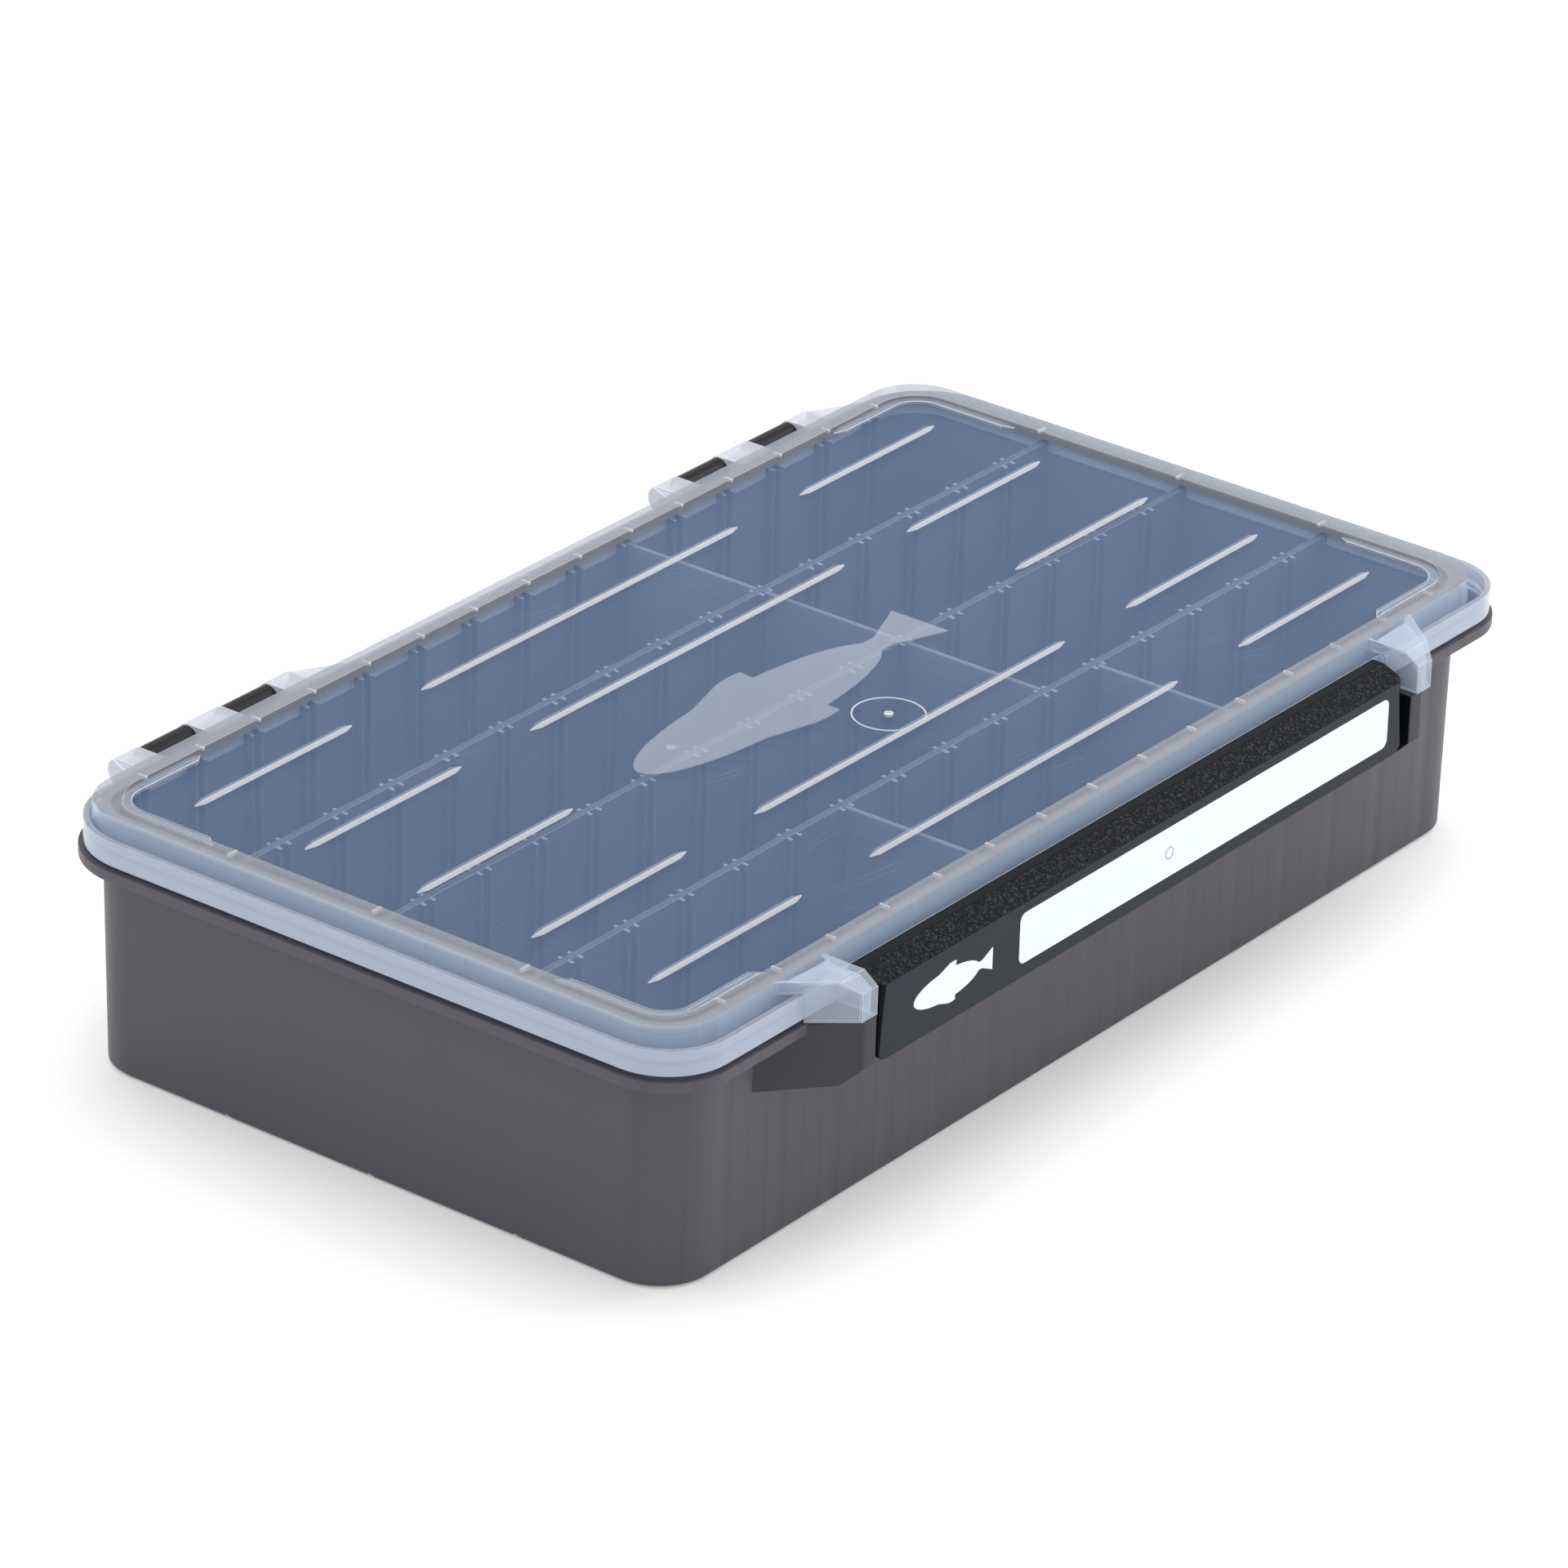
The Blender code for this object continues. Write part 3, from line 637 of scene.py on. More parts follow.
def same_all_round(name, half_x, half_y, low_z, high_z, radius, steps=12):
    return rounded_block(name, half_x, half_y, half_y, low_z, high_z, radius, radius, steps)


def select_top(piece, z):
    select_parts(piece, "FACE", lambda place, normal: normal.z > 0.9 and abs(place.z - z) < NEAR)


def select_bottom(piece, z):
    select_parts(piece, "FACE", lambda place, normal: normal.z < -0.9 and abs(place.z - z) < NEAR)


# ---------------------------------------------------------------- tray


def make_tray():
    tray = same_all_round("tray", WALL_HALF_X, WALL_HALF_Y, FOOT_CHAMFER, WALL_TOP_Z, WALL_CORNER_R)
    select_bottom(tray, FOOT_CHAMFER)
    widen(tray, WALL_HALF_X - DRAFT, WALL_HALF_Y - DRAFT)
    pull(z=-FOOT_CHAMFER)
    widen(tray, WALL_HALF_X - DRAFT - FOOT_CHAMFER, WALL_HALF_Y - DRAFT - FOOT_CHAMFER)
    deselect_all()
    flange = rounded_block("flange", FLANGE_HALF_X, FLANGE_HALF_Y, FLANGE_REAR_Y, FLANGE_LOW_Z,
                           FLANGE_TOP_Z, FLANGE_FRONT_R, FLANGE_REAR_R)
    select_bottom(flange, FLANGE_LOW_Z)
    inset(FLANGE_LIP)
    pull(z=FLANGE_WEB_Z - FLANGE_LOW_Z)
    deselect_all()
    cut_with(tray, flange, "UNION")
    select_top(tray, WALL_TOP_Z)
    inset(WALL_THICK - WALL_STEP)
    pull(z=WALL_STEP_Z - WALL_TOP_Z)
    inset(WALL_STEP)
    pull(z=FLOOR_Z - WALL_STEP_Z)
    widen(tray, WALL_HALF_X - WALL_THICK - DRAFT, WALL_HALF_Y - WALL_THICK - DRAFT)
    deselect_all()
    for row in (-1, 0, 1):
        cut_with(tray, foot_groove(row * CHANNEL_PITCH))
    paint(tray, TRAY_GREY, INSIDE_GREY, WALL_BAND_PAINTED_LIGHT)
    # Inward walls take the inside grey, and above the step the lighter band that paints the light
    # falling there; the floor takes the inside grey.
    for face in tray.data.polygons:
        place, normal = face.center, face.normal
        if abs(normal.z) < 0.5 and normal.x * place.x + normal.y * place.y < 0.0 and place.z > FLOOR_Z:
            face.material_index = 2 if place.z > WALL_STEP_Z - NEAR else 1
        elif normal.z > 0.9 and place.z < FLOOR_Z + 0.0002:
            face.material_index = 1
    soften(tray, 0.0004)
    put_on(tray, "base", "base_grey", "base")


def foot_groove(y):
    """A square bar on its edge, which leaves a V groove under a channel wall."""
    groove = add_block("foot_groove", (-0.2, -0.001, -0.001), (0.2, 0.001, 0.001))
    groove.rotation_euler = (math.radians(45.0), 0.0, 0.0)
    groove.location = (0.0, y, 0.0)
    settle(groove)
    return groove


def rib_row(name, low_y, high_y):
    """Pairs of slot ribs at every slot, from low_y to high_y."""
    first = -SLOTS_EACH_SIDE * SLOT_PITCH
    pair = []
    for near in (RIB_NEAR, -RIB_NEAR - RIB_WIDE):
        rib = add_block(name, (first + near, low_y, FLOOR_Z - 0.0003),
                        (first + near + RIB_WIDE, high_y, RIB_TIP_Z))
        bevel_edges(rib, lambda a, b: min(a.z, b.z) > RIB_TIP_Z - 0.001, 0.0003, 1)
        pair.append(rib)
    row = join(name, pair)
    array_along_x(row, 2 * SLOTS_EACH_SIDE + 1, SLOT_PITCH)
    return row


def make_channels():
    """Three fixed lengthwise walls with their slot ribs, and the ribs inside both long sides."""
    reach = WALL_HALF_X - WALL_THICK + 0.0005
    across = CHANNEL_WALL_HALF + RIB_OUT
    for row, word in ((-1, "front"), (0, "middle"), (1, "rear")):
        y = row * CHANNEL_PITCH
        wall = add_block("channel_wall_" + word, (-reach, y - CHANNEL_WALL_HALF, FLOOR_Z - 0.0003),
                         (reach, y + CHANNEL_WALL_HALF, CHANNEL_WALL_TOP_Z))
        bevel_edges(wall, lambda a, b: min(a.z, b.z) > CHANNEL_WALL_TOP_Z - 0.001
                    and abs(a.y - b.y) < NEAR, 0.0004, 2)
        wall = join("channel_wall_" + word, [wall, rib_row("slot_ribs", y - across, y + across)])
        paint(wall, INSIDE_GREY, TOP_GREY, TIP_GREY_PAINTED_HIGHLIGHT)
        # Faces at the top: the wall's top in the darker top grey, the rib tips in the light grey of the
        # painted highlight.
        for face in wall.data.polygons:
            if face.center.z > RIB_TIP_Z - 0.0004:
                face.material_index = 1 if face.center.z > RIB_TIP_Z + NEAR else 2
        shade(wall)
        put_on(wall, "base", "base_grey")
    inner = WALL_HALF_Y - WALL_THICK
    for side, word in ((-1, "front"), (1, "rear")):
        row = rib_row("side_ribs_" + word, side * (inner - DRAFT - RIB_OUT), side * (inner + 0.0005))
        paint(row, INSIDE_GREY, TIP_GREY_PAINTED_HIGHLIGHT)
        # The rib tips take the painted highlight grey.
        for face in row.data.polygons:
            if face.center.z > RIB_TIP_Z - 0.0004:
                face.material_index = 1
        shade(row)
        put_on(row, "base", "base_grey")


def make_tray_ear(side, word):
    """A solid ear on the front wall, in the darker painted-shade grey, and painted black where it faces
    the latch for the deep shade in the gap there.
    """
    root_y = -WALL_HALF_Y + 0.0005
    ear = add_block("tray_ear_" + word, (side * EAR_IN_X, EAR_FRONT_Y, EAR_LOW_Z),
                    (side * EAR_ROOT_X, root_y, EAR_TOP_Z))
    slice_off(ear, (side * EAR_FRONT_X, EAR_FRONT_Y, EAR_LOW_Z),
              (side * (root_y - EAR_FRONT_Y), EAR_FRONT_X - EAR_ROOT_X, 0.0))
    slice_off(ear, (0.0, EAR_FRONT_Y + EAR_CHAMFER, EAR_LOW_Z), (0.0, -1.0, -1.0))
    paint(ear, EAR_GREY_PAINTED_SHADE, LATCH_BLACK)
    # The face towards the latch is painted black: painted shade for the deep gap between the ear and the
    # latch.
    for face in ear.data.polygons:
        if face.normal.x * side < -0.5:
            face.material_index = 1
    soften(ear, 0.0005)
    put_on(ear, "base", "base_grey")


def make_divider(node):
    """A removable cross wall: a thin plate with a thicker top edge and a raised frame on each face."""
    low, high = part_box(node)
    middle, half_thick, edge_h = (low.x + high.x) / 2.0, 0.0007, 0.0025
    number = node.split("_")[1]
    plate = add_block("cross_wall_" + number, (middle - half_thick, low.y, low.z),
                      (middle + half_thick, high.y, high.z - edge_h))
    for side in (-1, 1):
        select_parts(plate, "FACE", lambda place, normal: normal.x * side > 0.9)
        inset(0.0035)
        inset(0.0006)
        pull(x=-side * 0.00035)
        deselect_all()
    bar = add_block("divider_edge", (low.x, low.y, high.z - edge_h - 0.0001), (high.x, high.y, high.z))
    bevel_edges(bar, lambda a, b: min(a.z, b.z) > high.z - 0.0005 and abs(a.x - b.x) < NEAR, 0.0005, 2)
    plate = join("cross_wall_" + number, [plate, bar])
    paint(plate, DIVIDER_GREY)
    shade(plate)
    put_on(plate, "base", "divider_grey", node)


# ---------------------------------------------------------------- lid


def make_lid():
    """One clear moulding: a skirt with a groove behind its top edge, a raised rim and a sunk panel."""
    rim_x, rim_y = RIM_IN_X + RIM_WIDE, RIM_IN_Y + RIM_WIDE
    lid = rounded_block("lid_cover", LEDGE_HALF_X, LEDGE_HALF_Y, LEDGE_REAR_Y, SKIRT_LOW_Z, LEDGE_Z,
                        LEDGE_FRONT_R, LEDGE_REAR_R)
    inner_x, inner_y = LEDGE_HALF_X - SKIRT_THICK, LEDGE_HALF_Y - SKIRT_THICK
    inner_rear = LEDGE_REAR_Y - SKIRT_THICK
    inner_r = (LEDGE_FRONT_R - SKIRT_THICK, LEDGE_REAR_R - SKIRT_THICK)
    groove = rounded_block("groove", inner_x, inner_y, inner_rear, GROOVE_Z, LEDGE_Z + 0.001, *inner_r)
    cut_with(lid, groove)
    rim = rounded_block("rim", rim_x, rim_y + 0.0004, rim_y, SKIRT_LOW_Z + 0.001, LID_TOP_Z,
                        RIM_CORNER_R, RIM_CORNER_R)
    select_bottom(rim, SKIRT_LOW_Z + 0.001)
    bpy.ops.transform.resize(value=(1.0045, 1.006, 1.0), center_override=(0, 0, 0))
    deselect_all()
    cut_with(lid, rim, "UNION")
    hollow = rounded_block("hollow", inner_x, inner_y, inner_rear, SKIRT_LOW_Z - 0.001, GROOVE_ROOF_Z,
                           *inner_r)
    cut_with(lid, hollow)
    under = same_all_round("under_panel", rim_x - 0.0014, rim_y - 0.0014, GROOVE_ROOF_Z - 0.001,
                           PANEL_Z - PANEL_THICK, RIM_CORNER_R - 0.0014)
    cut_with(lid, under)
    select_bottom(lid, PANEL_Z - PANEL_THICK)
    inset(RIM_WIDE - 0.0028)
    select_parts(lid, "FACE", lambda place, normal: normal.z < -0.9 and place.length > 0.085
                 and abs(place.z - PANEL_Z + PANEL_THICK) < NEAR)
    pull(z=SEAL_ROOF_Z - PANEL_Z + PANEL_THICK)
    deselect_all()
    pocket = rounded_block("pocket", RIM_IN_X, RIM_FRONT_IN_Y, RIM_IN_Y, PANEL_Z, LID_TOP_Z + 0.001,
                           RIM_IN_CORNER_R, RIM_IN_CORNER_R)
    select_bottom(pocket, PANEL_Z)
    bpy.ops.transform.resize(value=(0.9955, 0.992, 1.0), center_override=(0, 0, 0))
    deselect_all()
    cut_with(lid, pocket)
    catch_half = LID_EAR_IN_X - 0.001
    catch = add_block("catch_recess", (-catch_half, -LEDGE_HALF_Y - 0.002, CATCH_Z),
                      (catch_half, -inner_y - 0.0002, LEDGE_Z + 0.001))
    cut_with(lid, catch)
    paint(lid, PANEL_CLEAR, RIM_CLEAR, LEDGE_CLEAR, PAINTED_EDGE_HIGHLIGHT, SKIRT_CLEAR)
    for face in lid.data.polygons:
        face.material_index = lid_region(face, rim_x, rim_y)
    # The bevel faces take the painted edge highlight (index 3); those that are not bright edges go back
    # to their region's clear.
    apply_step(lid, "BEVEL", width=0.00055, segments=2, limit_method="ANGLE",
               angle_limit=math.radians(34.0), material=3, use_clamp_overlap=True)
    for face in lid.data.polygons:
        if face.material_index == 3 and not is_bright_edge(face, rim_x, rim_y):
            face.material_index = lid_region(face, rim_x, rim_y)
    shade(lid)
    put_on(lid, "lid", "lid_clear", "lid")


def lid_region(face, rim_x, rim_y):
    """0 for the panel, 1 for the rim, 2 for the groove and the skirt, 4 for the skirt's outside."""
    place = face.center
    outside = abs(place.x) > LEDGE_HALF_X - 0.0004 or place.y < 0.0004 - LEDGE_HALF_Y
    if abs(face.normal.z) < 0.5 and (outside or (past_corner(place) and faces_out(face))):
        return 4
    if abs(face.normal.z) > 0.9 and abs(place.x) < 0.05 and abs(place.y) < 0.05:
        return 0
    past_rim = abs(place.x) > rim_x - 0.0003 or abs(place.y) > rim_y - 0.0003
    in_corner = abs(place.x) > rim_x - 0.012 and abs(place.y) > rim_y - 0.012
    if past_rim or (in_corner and place.z < LEDGE_Z) or place.z < PANEL_Z - PANEL_THICK - 0.0002:
        return 2
    return 1


def past_corner(place):
    """True beyond the corners' inner arcs, out by the skirt."""
    out_x, out_y = abs(place.x) - LEDGE_HALF_X + 0.02, abs(place.y) - LEDGE_REAR_Y + 0.02
    return out_x > 0.0 and out_y > 0.0 and math.hypot(out_x, out_y) > 0.0185


def faces_out(face):
    return face.normal.x * face.center.x + face.normal.y * face.center.y > 0.0


def is_bright_edge(face, rim_x, rim_y):
    """True on the edges that take the painted highlight, where light gathers: the rim's inside, the
    skirt's top and its lower outside.
    """
    place, up = face.center, face.normal.z
    inside = abs(place.x) < RIM_IN_X + 0.001 and abs(place.y) < RIM_FRONT_IN_Y + 0.001
    if place.z > LID_TOP_Z - 0.0006:
        return inside
    if place.z > CATCH_Z - 0.0006 and up > 0.1:
        return abs(place.x) > rim_x + 0.002 or abs(place.y) > rim_y + 0.001
    return place.z < SKIRT_LOW_Z + 0.0006


def make_ridge(name, start_x, end_x, y):
    """A long low ridge with pointed ends on top of the panel."""
    ridge = add_block(name, (start_x + RIDGE_POINT, y - RIDGE_HALF, PANEL_FOOT_Z),
                      (end_x - RIDGE_POINT, y + RIDGE_HALF, RIDGE_TOP_Z))
    select_parts(ridge, "FACE", lambda place, normal: normal.z > 0.9)
    bpy.ops.transform.resize(value=(1.0, 0.5, 1.0), center_override=(0.0, y, 0.0))
    for side, x in ((-1, start_x + RIDGE_POINT), (1, end_x - RIDGE_POINT)):
        select_parts(ridge, "FACE", lambda place, normal: normal.x * side > 0.9)
        pull(x=side * RIDGE_POINT)
        bpy.ops.transform.resize(value=(1.0, 0.12, 0.35), center_override=(x, y, PANEL_FOOT_Z))
    deselect_all()
    return ridge


def make_ridges():
    ridges = []
    for row in (-2, -1, 0, 1, 2):
        y = row * RIDGE_ROW_PITCH
        ridges.append(make_ridge("ridge", -RIDGE_OUTER[1], -RIDGE_OUTER[0], y))
        ridges.append(make_ridge("ridge", RIDGE_OUTER[0], RIDGE_OUTER[1], y))
        if row:
            ridges.append(make_ridge("ridge", -RIDGE_INNER, RIDGE_INNER, y))
    piece = join("lid_ridges", ridges)
    paint(piece, RIDGE_CLEAR, PAINTED_EDGE_HIGHLIGHT, LEDGE_CLEAR)
    # The ridges' bevels take the lighter ledge blue and their faces towards the front take the edge
    # highlight: painted highlights along the ridges.
    soften(piece, 0.00022, edge_material=2)
    for face in piece.data.polygons:
        if face.normal.y < -0.3:
            face.material_index = 1
    put_on(piece, "lid", "lid_clear")


def make_rim_nibs():
    """Small raised nibs across the rim's inner edge, in line with the slots and channel walls."""
    nibs = []
    first = -SLOTS_EACH_SIDE * SLOT_PITCH
    for side in (-1, 1):
        edge = RIM_IN_Y if side > 0 else -RIM_FRONT_IN_Y
        row = add_block("nib", (first - 0.0005, edge - side * 0.0006, PANEL_Z + 0.0008),
                        (first + 0.0005, edge + side * 0.0022, LID_TOP_Z))
        array_along_x(row, 2 * SLOTS_EACH_SIDE + 1, SLOT_PITCH)
        nibs.append(row)
        for place in (-1, 0, 1):
            edge = side * RIM_IN_X
            y = place * CHANNEL_PITCH
            nibs.append(add_block("nib", (edge - side * 0.0005, y - 0.0006, PANEL_Z + 0.0008),
                                  (edge + side * 0.0026, y + 0.0006, LID_TOP_Z)))
    piece = join("rim_nibs", nibs)
    # The nibs are painted in the edge highlight, for the bright ticks of light they catch.
    paint(piece, PAINTED_EDGE_HIGHLIGHT)
    soften(piece, 0.0002)
    put_on(piece, "lid", "lid_clear")


def make_corner_shelf(name, sign_x, sign_y):
    """A half-height L-shaped step that follows the inside of a rim corner."""
    arm, wide, top_z, turn_r = 0.022, 0.0026, 0.0722, 0.0105
    edge_x, edge_y = RIM_IN_X - 0.0004, RIM_IN_Y - 0.0004
    start_x = edge_x - turn_r
    shelf = add_block(name, (start_x - arm, edge_y - wide, PANEL_FOOT_Z), (start_x, edge_y, top_z))
    select_parts(shelf, "FACE", lambda place, normal: normal.x < -0.9)
    pull(x=-0.003)
    bpy.ops.transform.resize(value=(1.0, 0.2, 0.4), center_override=(0.0, edge_y, PANEL_Z))
    select_parts(shelf, "FACE", lambda place, normal: normal.x > 0.9)
    bpy.ops.mesh.spin(steps=8, angle=math.radians(90.0), axis=(0, 0, 1),
                      center=(start_x, edge_y - turn_r, PANEL_Z))
    pull(y=-arm)
    pull(y=-0.003)
    bpy.ops.transform.resize(value=(0.2, 1.0, 0.4), center_override=(edge_x, 0.0, PANEL_Z))
    face_outwards(shelf)
    if sign_x < 0 or sign_y < 0:
        shelf.scale = (sign_x, sign_y, 1.0)
        settle(shelf)
        face_outwards(shelf)
    return shelf


def make_corner_shelves():
    shelves = [make_corner_shelf("shelf", x, y) for x in (-1, 1) for y in (-1, 1)]
    piece = join("corner_shelves", shelves)
    # The shelves' bevels take the painted edge highlight.
    paint(piece, RIDGE_CLEAR, PAINTED_EDGE_HIGHLIGHT)
    soften(piece, 0.0002, edge_material=1)
    put_on(piece, "lid", "lid_clear")


def make_gate_mark():
    """The ring and small button left on the panel where the plastic entered the mould."""
    place = (0.0017, -0.0269, PANEL_Z)
    deselect_all()
    bpy.ops.mesh.primitive_torus_add(location=place, major_radius=GATE_RING_R, minor_radius=0.00022,
                                     major_segments=64, minor_segments=8)
    ring = name_active("gate_mark")
    settle(ring)
    bpy.ops.mesh.primitive_cylinder_add(vertices=24, radius=0.0012, depth=0.0008, location=place)
    button = name_active("gate_button")
    settle(button)
    select_parts(button, "FACE", lambda spot, normal: normal.z > 0.9)
    inset(0.0004)
    pull(z=-0.0003)
    piece = join("gate_mark", [ring, button])
    # The gate ring and button are painted in the edge highlight, for the light their edges catch.
    paint(piece, PAINTED_EDGE_HIGHLIGHT)
    shade(piece)
    put_on(piece, "lid", "lid_clear")


def fish_outline(name, length, height, z, thick):
    """A plain fish seen from the side, lying flat: an oval body drawn out into a tail, and two fins."""
    deselect_all()
    bpy.ops.mesh.primitive_circle_add(vertices=48, radius=0.5, fill_type="NGON")
    fish = name_active(name)
    fish.scale = (length * 0.74, height, 1.0)
    fish.location = (-length * 0.13, 0.0, z)
    settle(fish)
    tail_x = length * 0.235
    select_parts(fish, "EDGE", lambda a, b: min(a.x, b.x) > length * 0.215)
    pull(x=length * 0.04)
    bpy.ops.transform.resize(value=(0.0, 1.0, 1.0), center_override=(tail_x + length * 0.03, 0.0, z))
    pull(x=length * 0.12)
    bpy.ops.transform.resize(value=(1.0, 2.9, 1.0), center_override=(0.0, 0.0, z))
    select_parts(fish, "EDGE", lambda a, b: min(a.y, b.y) > height * 0.47)
    pull(x=length * 0.05, y=height * 0.18)
    bpy.ops.transform.resize(value=(0.4, 1.0, 1.0), center_override=(length * -0.06, 0.0, z))
    select_parts(fish, "EDGE", lambda a, b: max(a.y, b.y) < -height * 0.47)
    pull(x=length * 0.04, y=-height * 0.16)
    bpy.ops.transform.resize(value=(0.4, 1.0, 1.0), center_override=(length * -0.06, 0.0, z))
    select_whole(fish)
    pull(z=thick)
    face_outwards(fish)
    return fish


def make_disc(name, place, radius, depth):
    deselect_all()
    bpy.ops.mesh.primitive_cylinder_add(vertices=24, radius=radius, depth=depth, location=place)
    disc = name_active(name)
    settle(disc)
    return disc


def make_emblem():
    """A plain raised fish in mid panel."""
    emblem = fish_outline("lid_emblem", EMBLEM_LONG, EMBLEM_HIGH, PANEL_FOOT_Z, 0.0004)
    eye = make_disc("eye", (-0.05, 0.0025, PANEL_Z + 0.0004), 0.0014, 0.0004)
    emblem = join("lid_emblem", [emblem, eye])
    paint(emblem, EMBLEM_FROST, RIDGE_CLEAR)
    soften(emblem, 0.00025, edge_material=1)
    put_on(emblem, "lid", "lid_clear")


def make_lid_ear(side, word):
    """A faceted open shell on the lid's front corner, which guards the end of the latch."""
    rim_y = -(RIM_IN_Y + RIM_WIDE)
    skirt_y = -LEDGE_HALF_Y - 0.0002
    ear = add_block("lid_ear_" + word, (side * LID_EAR_IN_X, LID_EAR_FRONT_Y, LID_EAR_LOW_Z),
                    (side * LID_EAR_OUT_X, skirt_y, LID_TOP_Z))
    score(ear, (0.0, 0.0, LEDGE_Z), (0.0, 0.0, 1.0))
    select_parts(ear, "FACE", lambda place, normal: normal.y > 0.9 and place.z > LEDGE_Z)
    pull(y=rim_y - skirt_y)
    deselect_all()
    slice_off(ear, (side * LID_EAR_TURN_X, LID_EAR_FRONT_Y, LEDGE_Z),
              (side * (rim_y - LID_EAR_FRONT_Y), LID_EAR_TURN_X - LID_EAR_ROOT_X, 0.0))
    slice_off(ear, (0.0, LID_EAR_BROW_Y, LID_TOP_Z), (0.0, -1.0, 1.35))
    score(ear, (0.0, LID_EAR_FIN_Y, 0.0), (0.0, 1.0, 0.0))
    delete_faces(ear, lambda place, normal: normal.z < -0.9 or normal.y > 0.9
                 or (normal.z > 0.9 and place.y > LID_EAR_FIN_Y))
    # The shell's cut edges and bevels take the painted edge highlight.
    apply_step(ear, "SOLIDIFY", thickness=LID_EAR_WALL, offset=-1.0, use_even_offset=True,
               material_offset_rim=1)
    paint(ear, EAR_CLEAR, EAR_EDGE_HIGHLIGHT)
    soften(ear, 0.0006, degrees=22.0, edge_material=1)
    put_on(ear, "lid", "lid_clear")


def hinge_spans(side):
    """X ranges of a hinge's parts, left to right: knuckle, hook, knuckle, hook, knuckle."""
    lengths = (KNUCKLE_END, HOOK_LEN, KNUCKLE_MID, HOOK_LEN, KNUCKLE_END)
    x = side * HINGE_CENTRE_X - sum(lengths) / 2.0
    spans = []
    for length in lengths:
        spans.append((x, x + length))
        x += length
    return spans


def make_knuckle(start, end):
    barrel = add_block("knuckle", (start, KNUCKLE_ROOT_Y, HINGE_Z - KNUCKLE_R),
                       (end, HINGE_Y + KNUCKLE_R, HINGE_Z + KNUCKLE_R))
    bevel_edges(barrel, lambda a, b: min(a.y, b.y) > HINGE_Y + KNUCKLE_R - NEAR
                and abs(a.z - b.z) < NEAR, KNUCKLE_R - 0.0001, 8)
    slice_off(barrel, (start, HINGE_Y - 0.002, HINGE_Z - KNUCKLE_R), (0.0, -0.0021, -0.0026))
    return barrel


def make_knuckles():
    knuckles = []
    for side in (-1, 1):
        spans = hinge_spans(side)
        for start, end in spans[0::2]:
            knuckles.append(make_knuckle(start, end))
        taper_x, taper_y = spans[-1][1] - 0.0002, HINGE_Y + 0.0012
        taper = add_block("taper", (taper_x, KNUCKLE_ROOT_Y, SKIRT_LOW_Z + 0.001),
                          (taper_x + KNUCKLE_TAPER, taper_y, HINGE_Z + KNUCKLE_R - 0.0003))
        slice_off(taper, (taper_x + KNUCKLE_TAPER, KNUCKLE_ROOT_Y, 0.0),
                  (taper_y - KNUCKLE_ROOT_Y, KNUCKLE_TAPER, 0.0))
        knuckles.append(taper)
        end_x, stop_y = spans[0][0] + 0.0002, HINGE_Y + 0.0026
        stop = add_block("stop", (end_x - KNUCKLE_STOP, KNUCKLE_ROOT_Y, SKIRT_LOW_Z + 0.001),
                         (end_x, stop_y, HINGE_Z + KNUCKLE_R - 0.0003))
        slice_off(stop, (end_x - KNUCKLE_STOP, KNUCKLE_ROOT_Y, 0.0),
                  (KNUCKLE_ROOT_Y - stop_y, KNUCKLE_STOP, 0.0))
        knuckles.append(stop)
    piece = join("lid_knuckles", knuckles)
    face_outwards(piece)
    # The knuckles' bevels take the painted edge highlight.
    paint(piece, KNUCKLE_CLEAR, PAINTED_EDGE_HIGHLIGHT)
    soften(piece, 0.0003, edge_material=1)
    put_on(piece, "lid", "lid_clear")


# ---------------------------------------------------------------- latch


def make_latch():
    """A bar, open at the back, whose top lip hooks over the lid's ledge."""
    back_y, lip_y, lip_z = LATCH_BACK_Y, LATCH_HIGH.y, CATCH_Z + 0.0003
    latch = add_block("latch_bar", (-LATCH_HALF_X, LATCH_FACE_Y, LATCH_LOW_Z),
                      (LATCH_HALF_X, back_y, LATCH_TOP_Z))
    bevel_edges(latch, lambda a, b: abs(a.y - b.y) > 0.002 and min(a.z, b.z) < LATCH_LOW_Z + 0.001,
                LATCH_FOOT_R, 5)
    bevel_edges(latch, lambda a, b: upright(a, b) and max(a.y, b.y) < LATCH_FACE_Y + NEAR
                and abs(a.x) > LATCH_HALF_X - NEAR, LATCH_END_R, 4)
    slope = (0.0, GRIP_LOW_Z - LATCH_TOP_Z, GRIP_BACK_Y - LATCH_FACE_Y)
    slice_off(latch, (0.0, GRIP_BACK_Y, LATCH_TOP_Z), slope)
    score(latch, (0.0, 0.0, lip_z), (0.0, 0.0, 1.0))
    select_parts(latch, "FACE", lambda place, normal: normal.y > 0.9 and place.z > lip_z)
    pull(y=lip_y - back_y)
    deselect_all()
    delete_faces(latch, lambda place, normal: normal.y > 0.9
                 or (normal.z < -0.9 and place.z > lip_z - NEAR))
    apply_step(latch, "SOLIDIFY", thickness=LATCH_WALL, offset=-1.0, use_even_offset=False)
    paint(latch, LATCH_BLACK, LATCH_GRIP, LATCH_FACE)
    for face in latch.data.polygons:
        if face.normal.y < -0.95 and face.center.y < LATCH_FACE_Y + 0.0002:
            face.material_index = 2
        elif 0.3 < abs(face.normal.z) < 0.97 and face.center.z > GRIP_LOW_Z - 0.001:
            face.material_index = 1
    soften(latch, 0.0008, steps=3)
    put_on(latch, "latch", "latch_black", "latch")


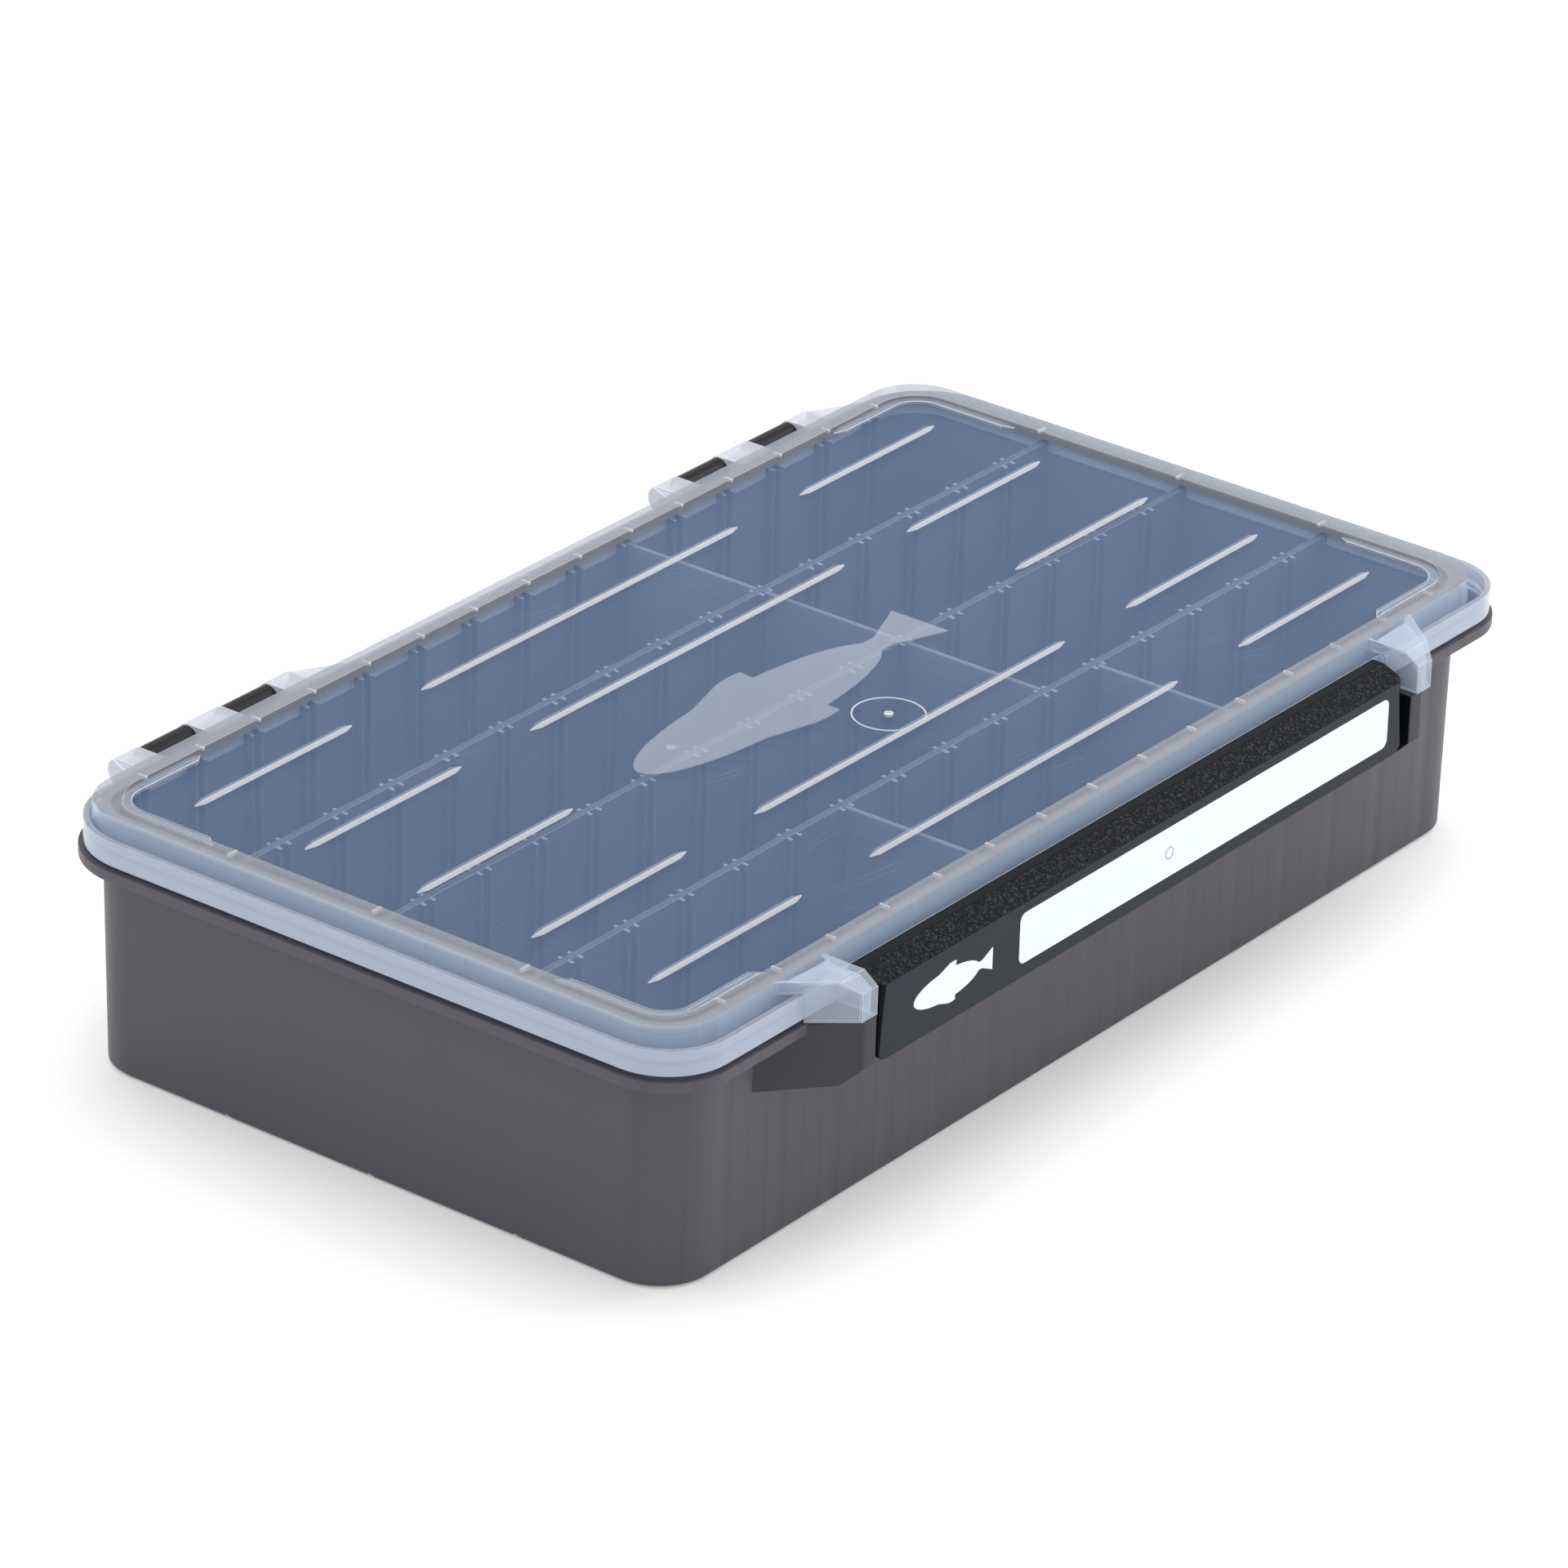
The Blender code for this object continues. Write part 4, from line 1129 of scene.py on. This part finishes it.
def make_label():
    """A white card with rounded corners on the latch's face, with a small moulding ring."""
    card = add_block("label_card", (LABEL_LOW.x, LATCH_FACE_Y - 0.0001, LABEL_LOW.z),
                     (LABEL_HIGH.x, LATCH_FACE_Y + 0.0003, LABEL_HIGH.z))
    bevel_edges(card, lambda a, b: abs(a.y - b.y) > 0.0002, 0.0022, 6)
    paint(card, LABEL_WHITE)
    soften(card, 0.00008)
    put_on(card, "latch", "label_white", "label")
    deselect_all()
    bpy.ops.mesh.primitive_torus_add(location=(LABEL_RING_X, LATCH_FACE_Y - 0.0001, FACE_MARKS_Z),
                                     rotation=(math.radians(90.0), 0.0, 0.0), major_radius=0.0016,
                                     minor_radius=0.00009, major_segments=40, minor_segments=6)
    ring = name_active("label_ring")
    settle(ring)
    paint(ring, LABEL_MARK)
    shade(ring)
    put_on(ring, "latch", "label_white")


def make_face_fish():
    """A small plain fish printed at the left of the latch's face."""
    fish = fish_outline("latch_fish", FACE_FISH_LONG, FACE_FISH_HIGH, 0.0, 0.00025)
    fish.rotation_euler = (math.radians(90.0), 0.0, 0.0)
    fish.location = (FACE_FISH_X, LATCH_FACE_Y + 0.00015, FACE_MARKS_Z)
    settle(fish)
    paint(fish, PRINT_WHITE)
    soften(fish, 0.00005)
    put_on(fish, "latch", "latch_black")


def dress_packed(name, material):
    """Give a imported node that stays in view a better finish."""
    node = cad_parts[name]
    for index in range(len(node.material_slots)):
        node.material_slots[index].material = material


EAR_CLEAR = clear_plastic("ear_clear", (0.60, 0.70, 0.84), 0.26, 0.5, 0.12)
# Painted highlight: a near-white, nearly opaque clear for the bright cut edges and bevels of the lid's
# ears.
EAR_EDGE_HIGHLIGHT = clear_plastic("ear_edge_highlight", (0.86, 0.89, 0.93), 0.8, 0.95, 0.2)

make_tray()
make_channels()
make_tray_ear(-1, "left")
make_tray_ear(1, "right")
for divider in ("divider_1", "divider_2", "divider_3", "divider_4", "divider_5"):
    make_divider(divider)
make_lid()
make_ridges()
make_rim_nibs()
make_corner_shelves()
make_gate_mark()
make_emblem()
make_lid_ear(-1, "left")
make_lid_ear(1, "right")
make_knuckles()
make_latch()
make_label()
make_face_fish()
for number in (1, 2, 3, 4):
    dress_packed("hinge_hook_%d" % number, HINGE_BLACK)
for pin in ("hinge_pin_left", "hinge_pin_right"):
    dress_packed(pin, PIN_CLEAR)
for pin in ("latch_pin_left", "latch_pin_right"):
    dress_packed(pin, LATCH_BLACK)
dress_packed("lid_seal", SEAL_PALE)


# ---------------------------------------------------------------- floor, light and camera


def make_floor():
    deselect_all()
    bpy.ops.mesh.primitive_plane_add(size=8.0)
    floor = name_active("studio_floor")
    white, _, _ = new_finish("floor_white", (0.93, 0.93, 0.93), 0.9, Specular_IOR_Level=0.1,
                             Emission_Color=(1.0, 1.0, 1.0, 1.0), Emission_Strength=0.2)
    paint(floor, white)


def make_softbox(name, place, aim, size, power):
    deselect_all()
    bpy.ops.object.light_add(type="AREA", location=place)
    lamp = bpy.context.object
    lamp.name = name
    lamp.data.shape = "RECTANGLE"
    lamp.data.size, lamp.data.size_y = size
    lamp.data.energy = power
    lamp.rotation_euler = (Vector(aim) - Vector(place)).to_track_quat("-Z", "Y").to_euler()


def make_camera():
    azimuth, elevation, roll = math.radians(-52.95), math.radians(26.50), math.radians(1.64)
    target, distance = Vector((0.00313, 0.00678, 0.04)), 2.18309
    back = Vector((math.sin(azimuth) * math.cos(elevation), -math.cos(azimuth) * math.cos(elevation),
                   math.sin(elevation)))
    right = Vector((math.cos(azimuth), math.sin(azimuth), 0.0))
    up = back.cross(right)
    tilted_right = right * math.cos(roll) + up * math.sin(roll)
    tilted_up = up * math.cos(roll) - right * math.sin(roll)
    lens = bpy.data.cameras.new("camera")
    lens.lens = 194.73
    lens.sensor_width = 36.0
    lens.clip_start = 0.1
    lens.clip_end = 50.0
    camera = bpy.data.objects.new("camera", lens)
    turn = Matrix((tilted_right, tilted_up, back)).transposed().to_4x4()
    camera.matrix_world = Matrix.Translation(target + back * distance) @ turn
    bpy.context.scene.collection.objects.link(camera)
    bpy.context.scene.camera = camera


def make_surroundings():
    world = bpy.data.worlds.new("studio")
    world.use_nodes = True
    tree = world.node_tree
    place = add_node(tree, "ShaderNodeTexCoord")
    towards = add_node(tree, "ShaderNodeVectorMath", operation="DOT_PRODUCT")
    towards.inputs[1].default_value = (-0.75, -0.60, 0.28)
    strength = add_node(tree, "ShaderNodeMapRange", interpolation_type="SMOOTHSTEP")
    strength.inputs["From Min"].default_value = 0.2
    strength.inputs["To Min"].default_value = 0.92
    strength.inputs["To Max"].default_value = 0.72
    background = tree.nodes["Background"]
    background.inputs["Color"].default_value = (1.0, 1.0, 1.0, 1.0)
    tree.links.new(place.outputs["Generated"], towards.inputs[0])
    tree.links.new(towards.outputs["Value"], strength.inputs["Value"])
    tree.links.new(strength.outputs["Result"], background.inputs["Strength"])
    bpy.context.scene.world = world
    bpy.context.scene.view_settings.view_transform = "Standard"
    bpy.context.scene.cycles.transparent_max_bounces = 40


make_floor()
make_surroundings()
make_softbox("overhead", (0.1, 0.2, 1.5), (0.0, 0.0, 0.0), (1.6, 1.2), 9.0)
make_softbox("right_side", (1.3, -0.5, 1.0), (0.0, 0.0, 0.03), (0.9, 0.9), 7.0)
make_camera()
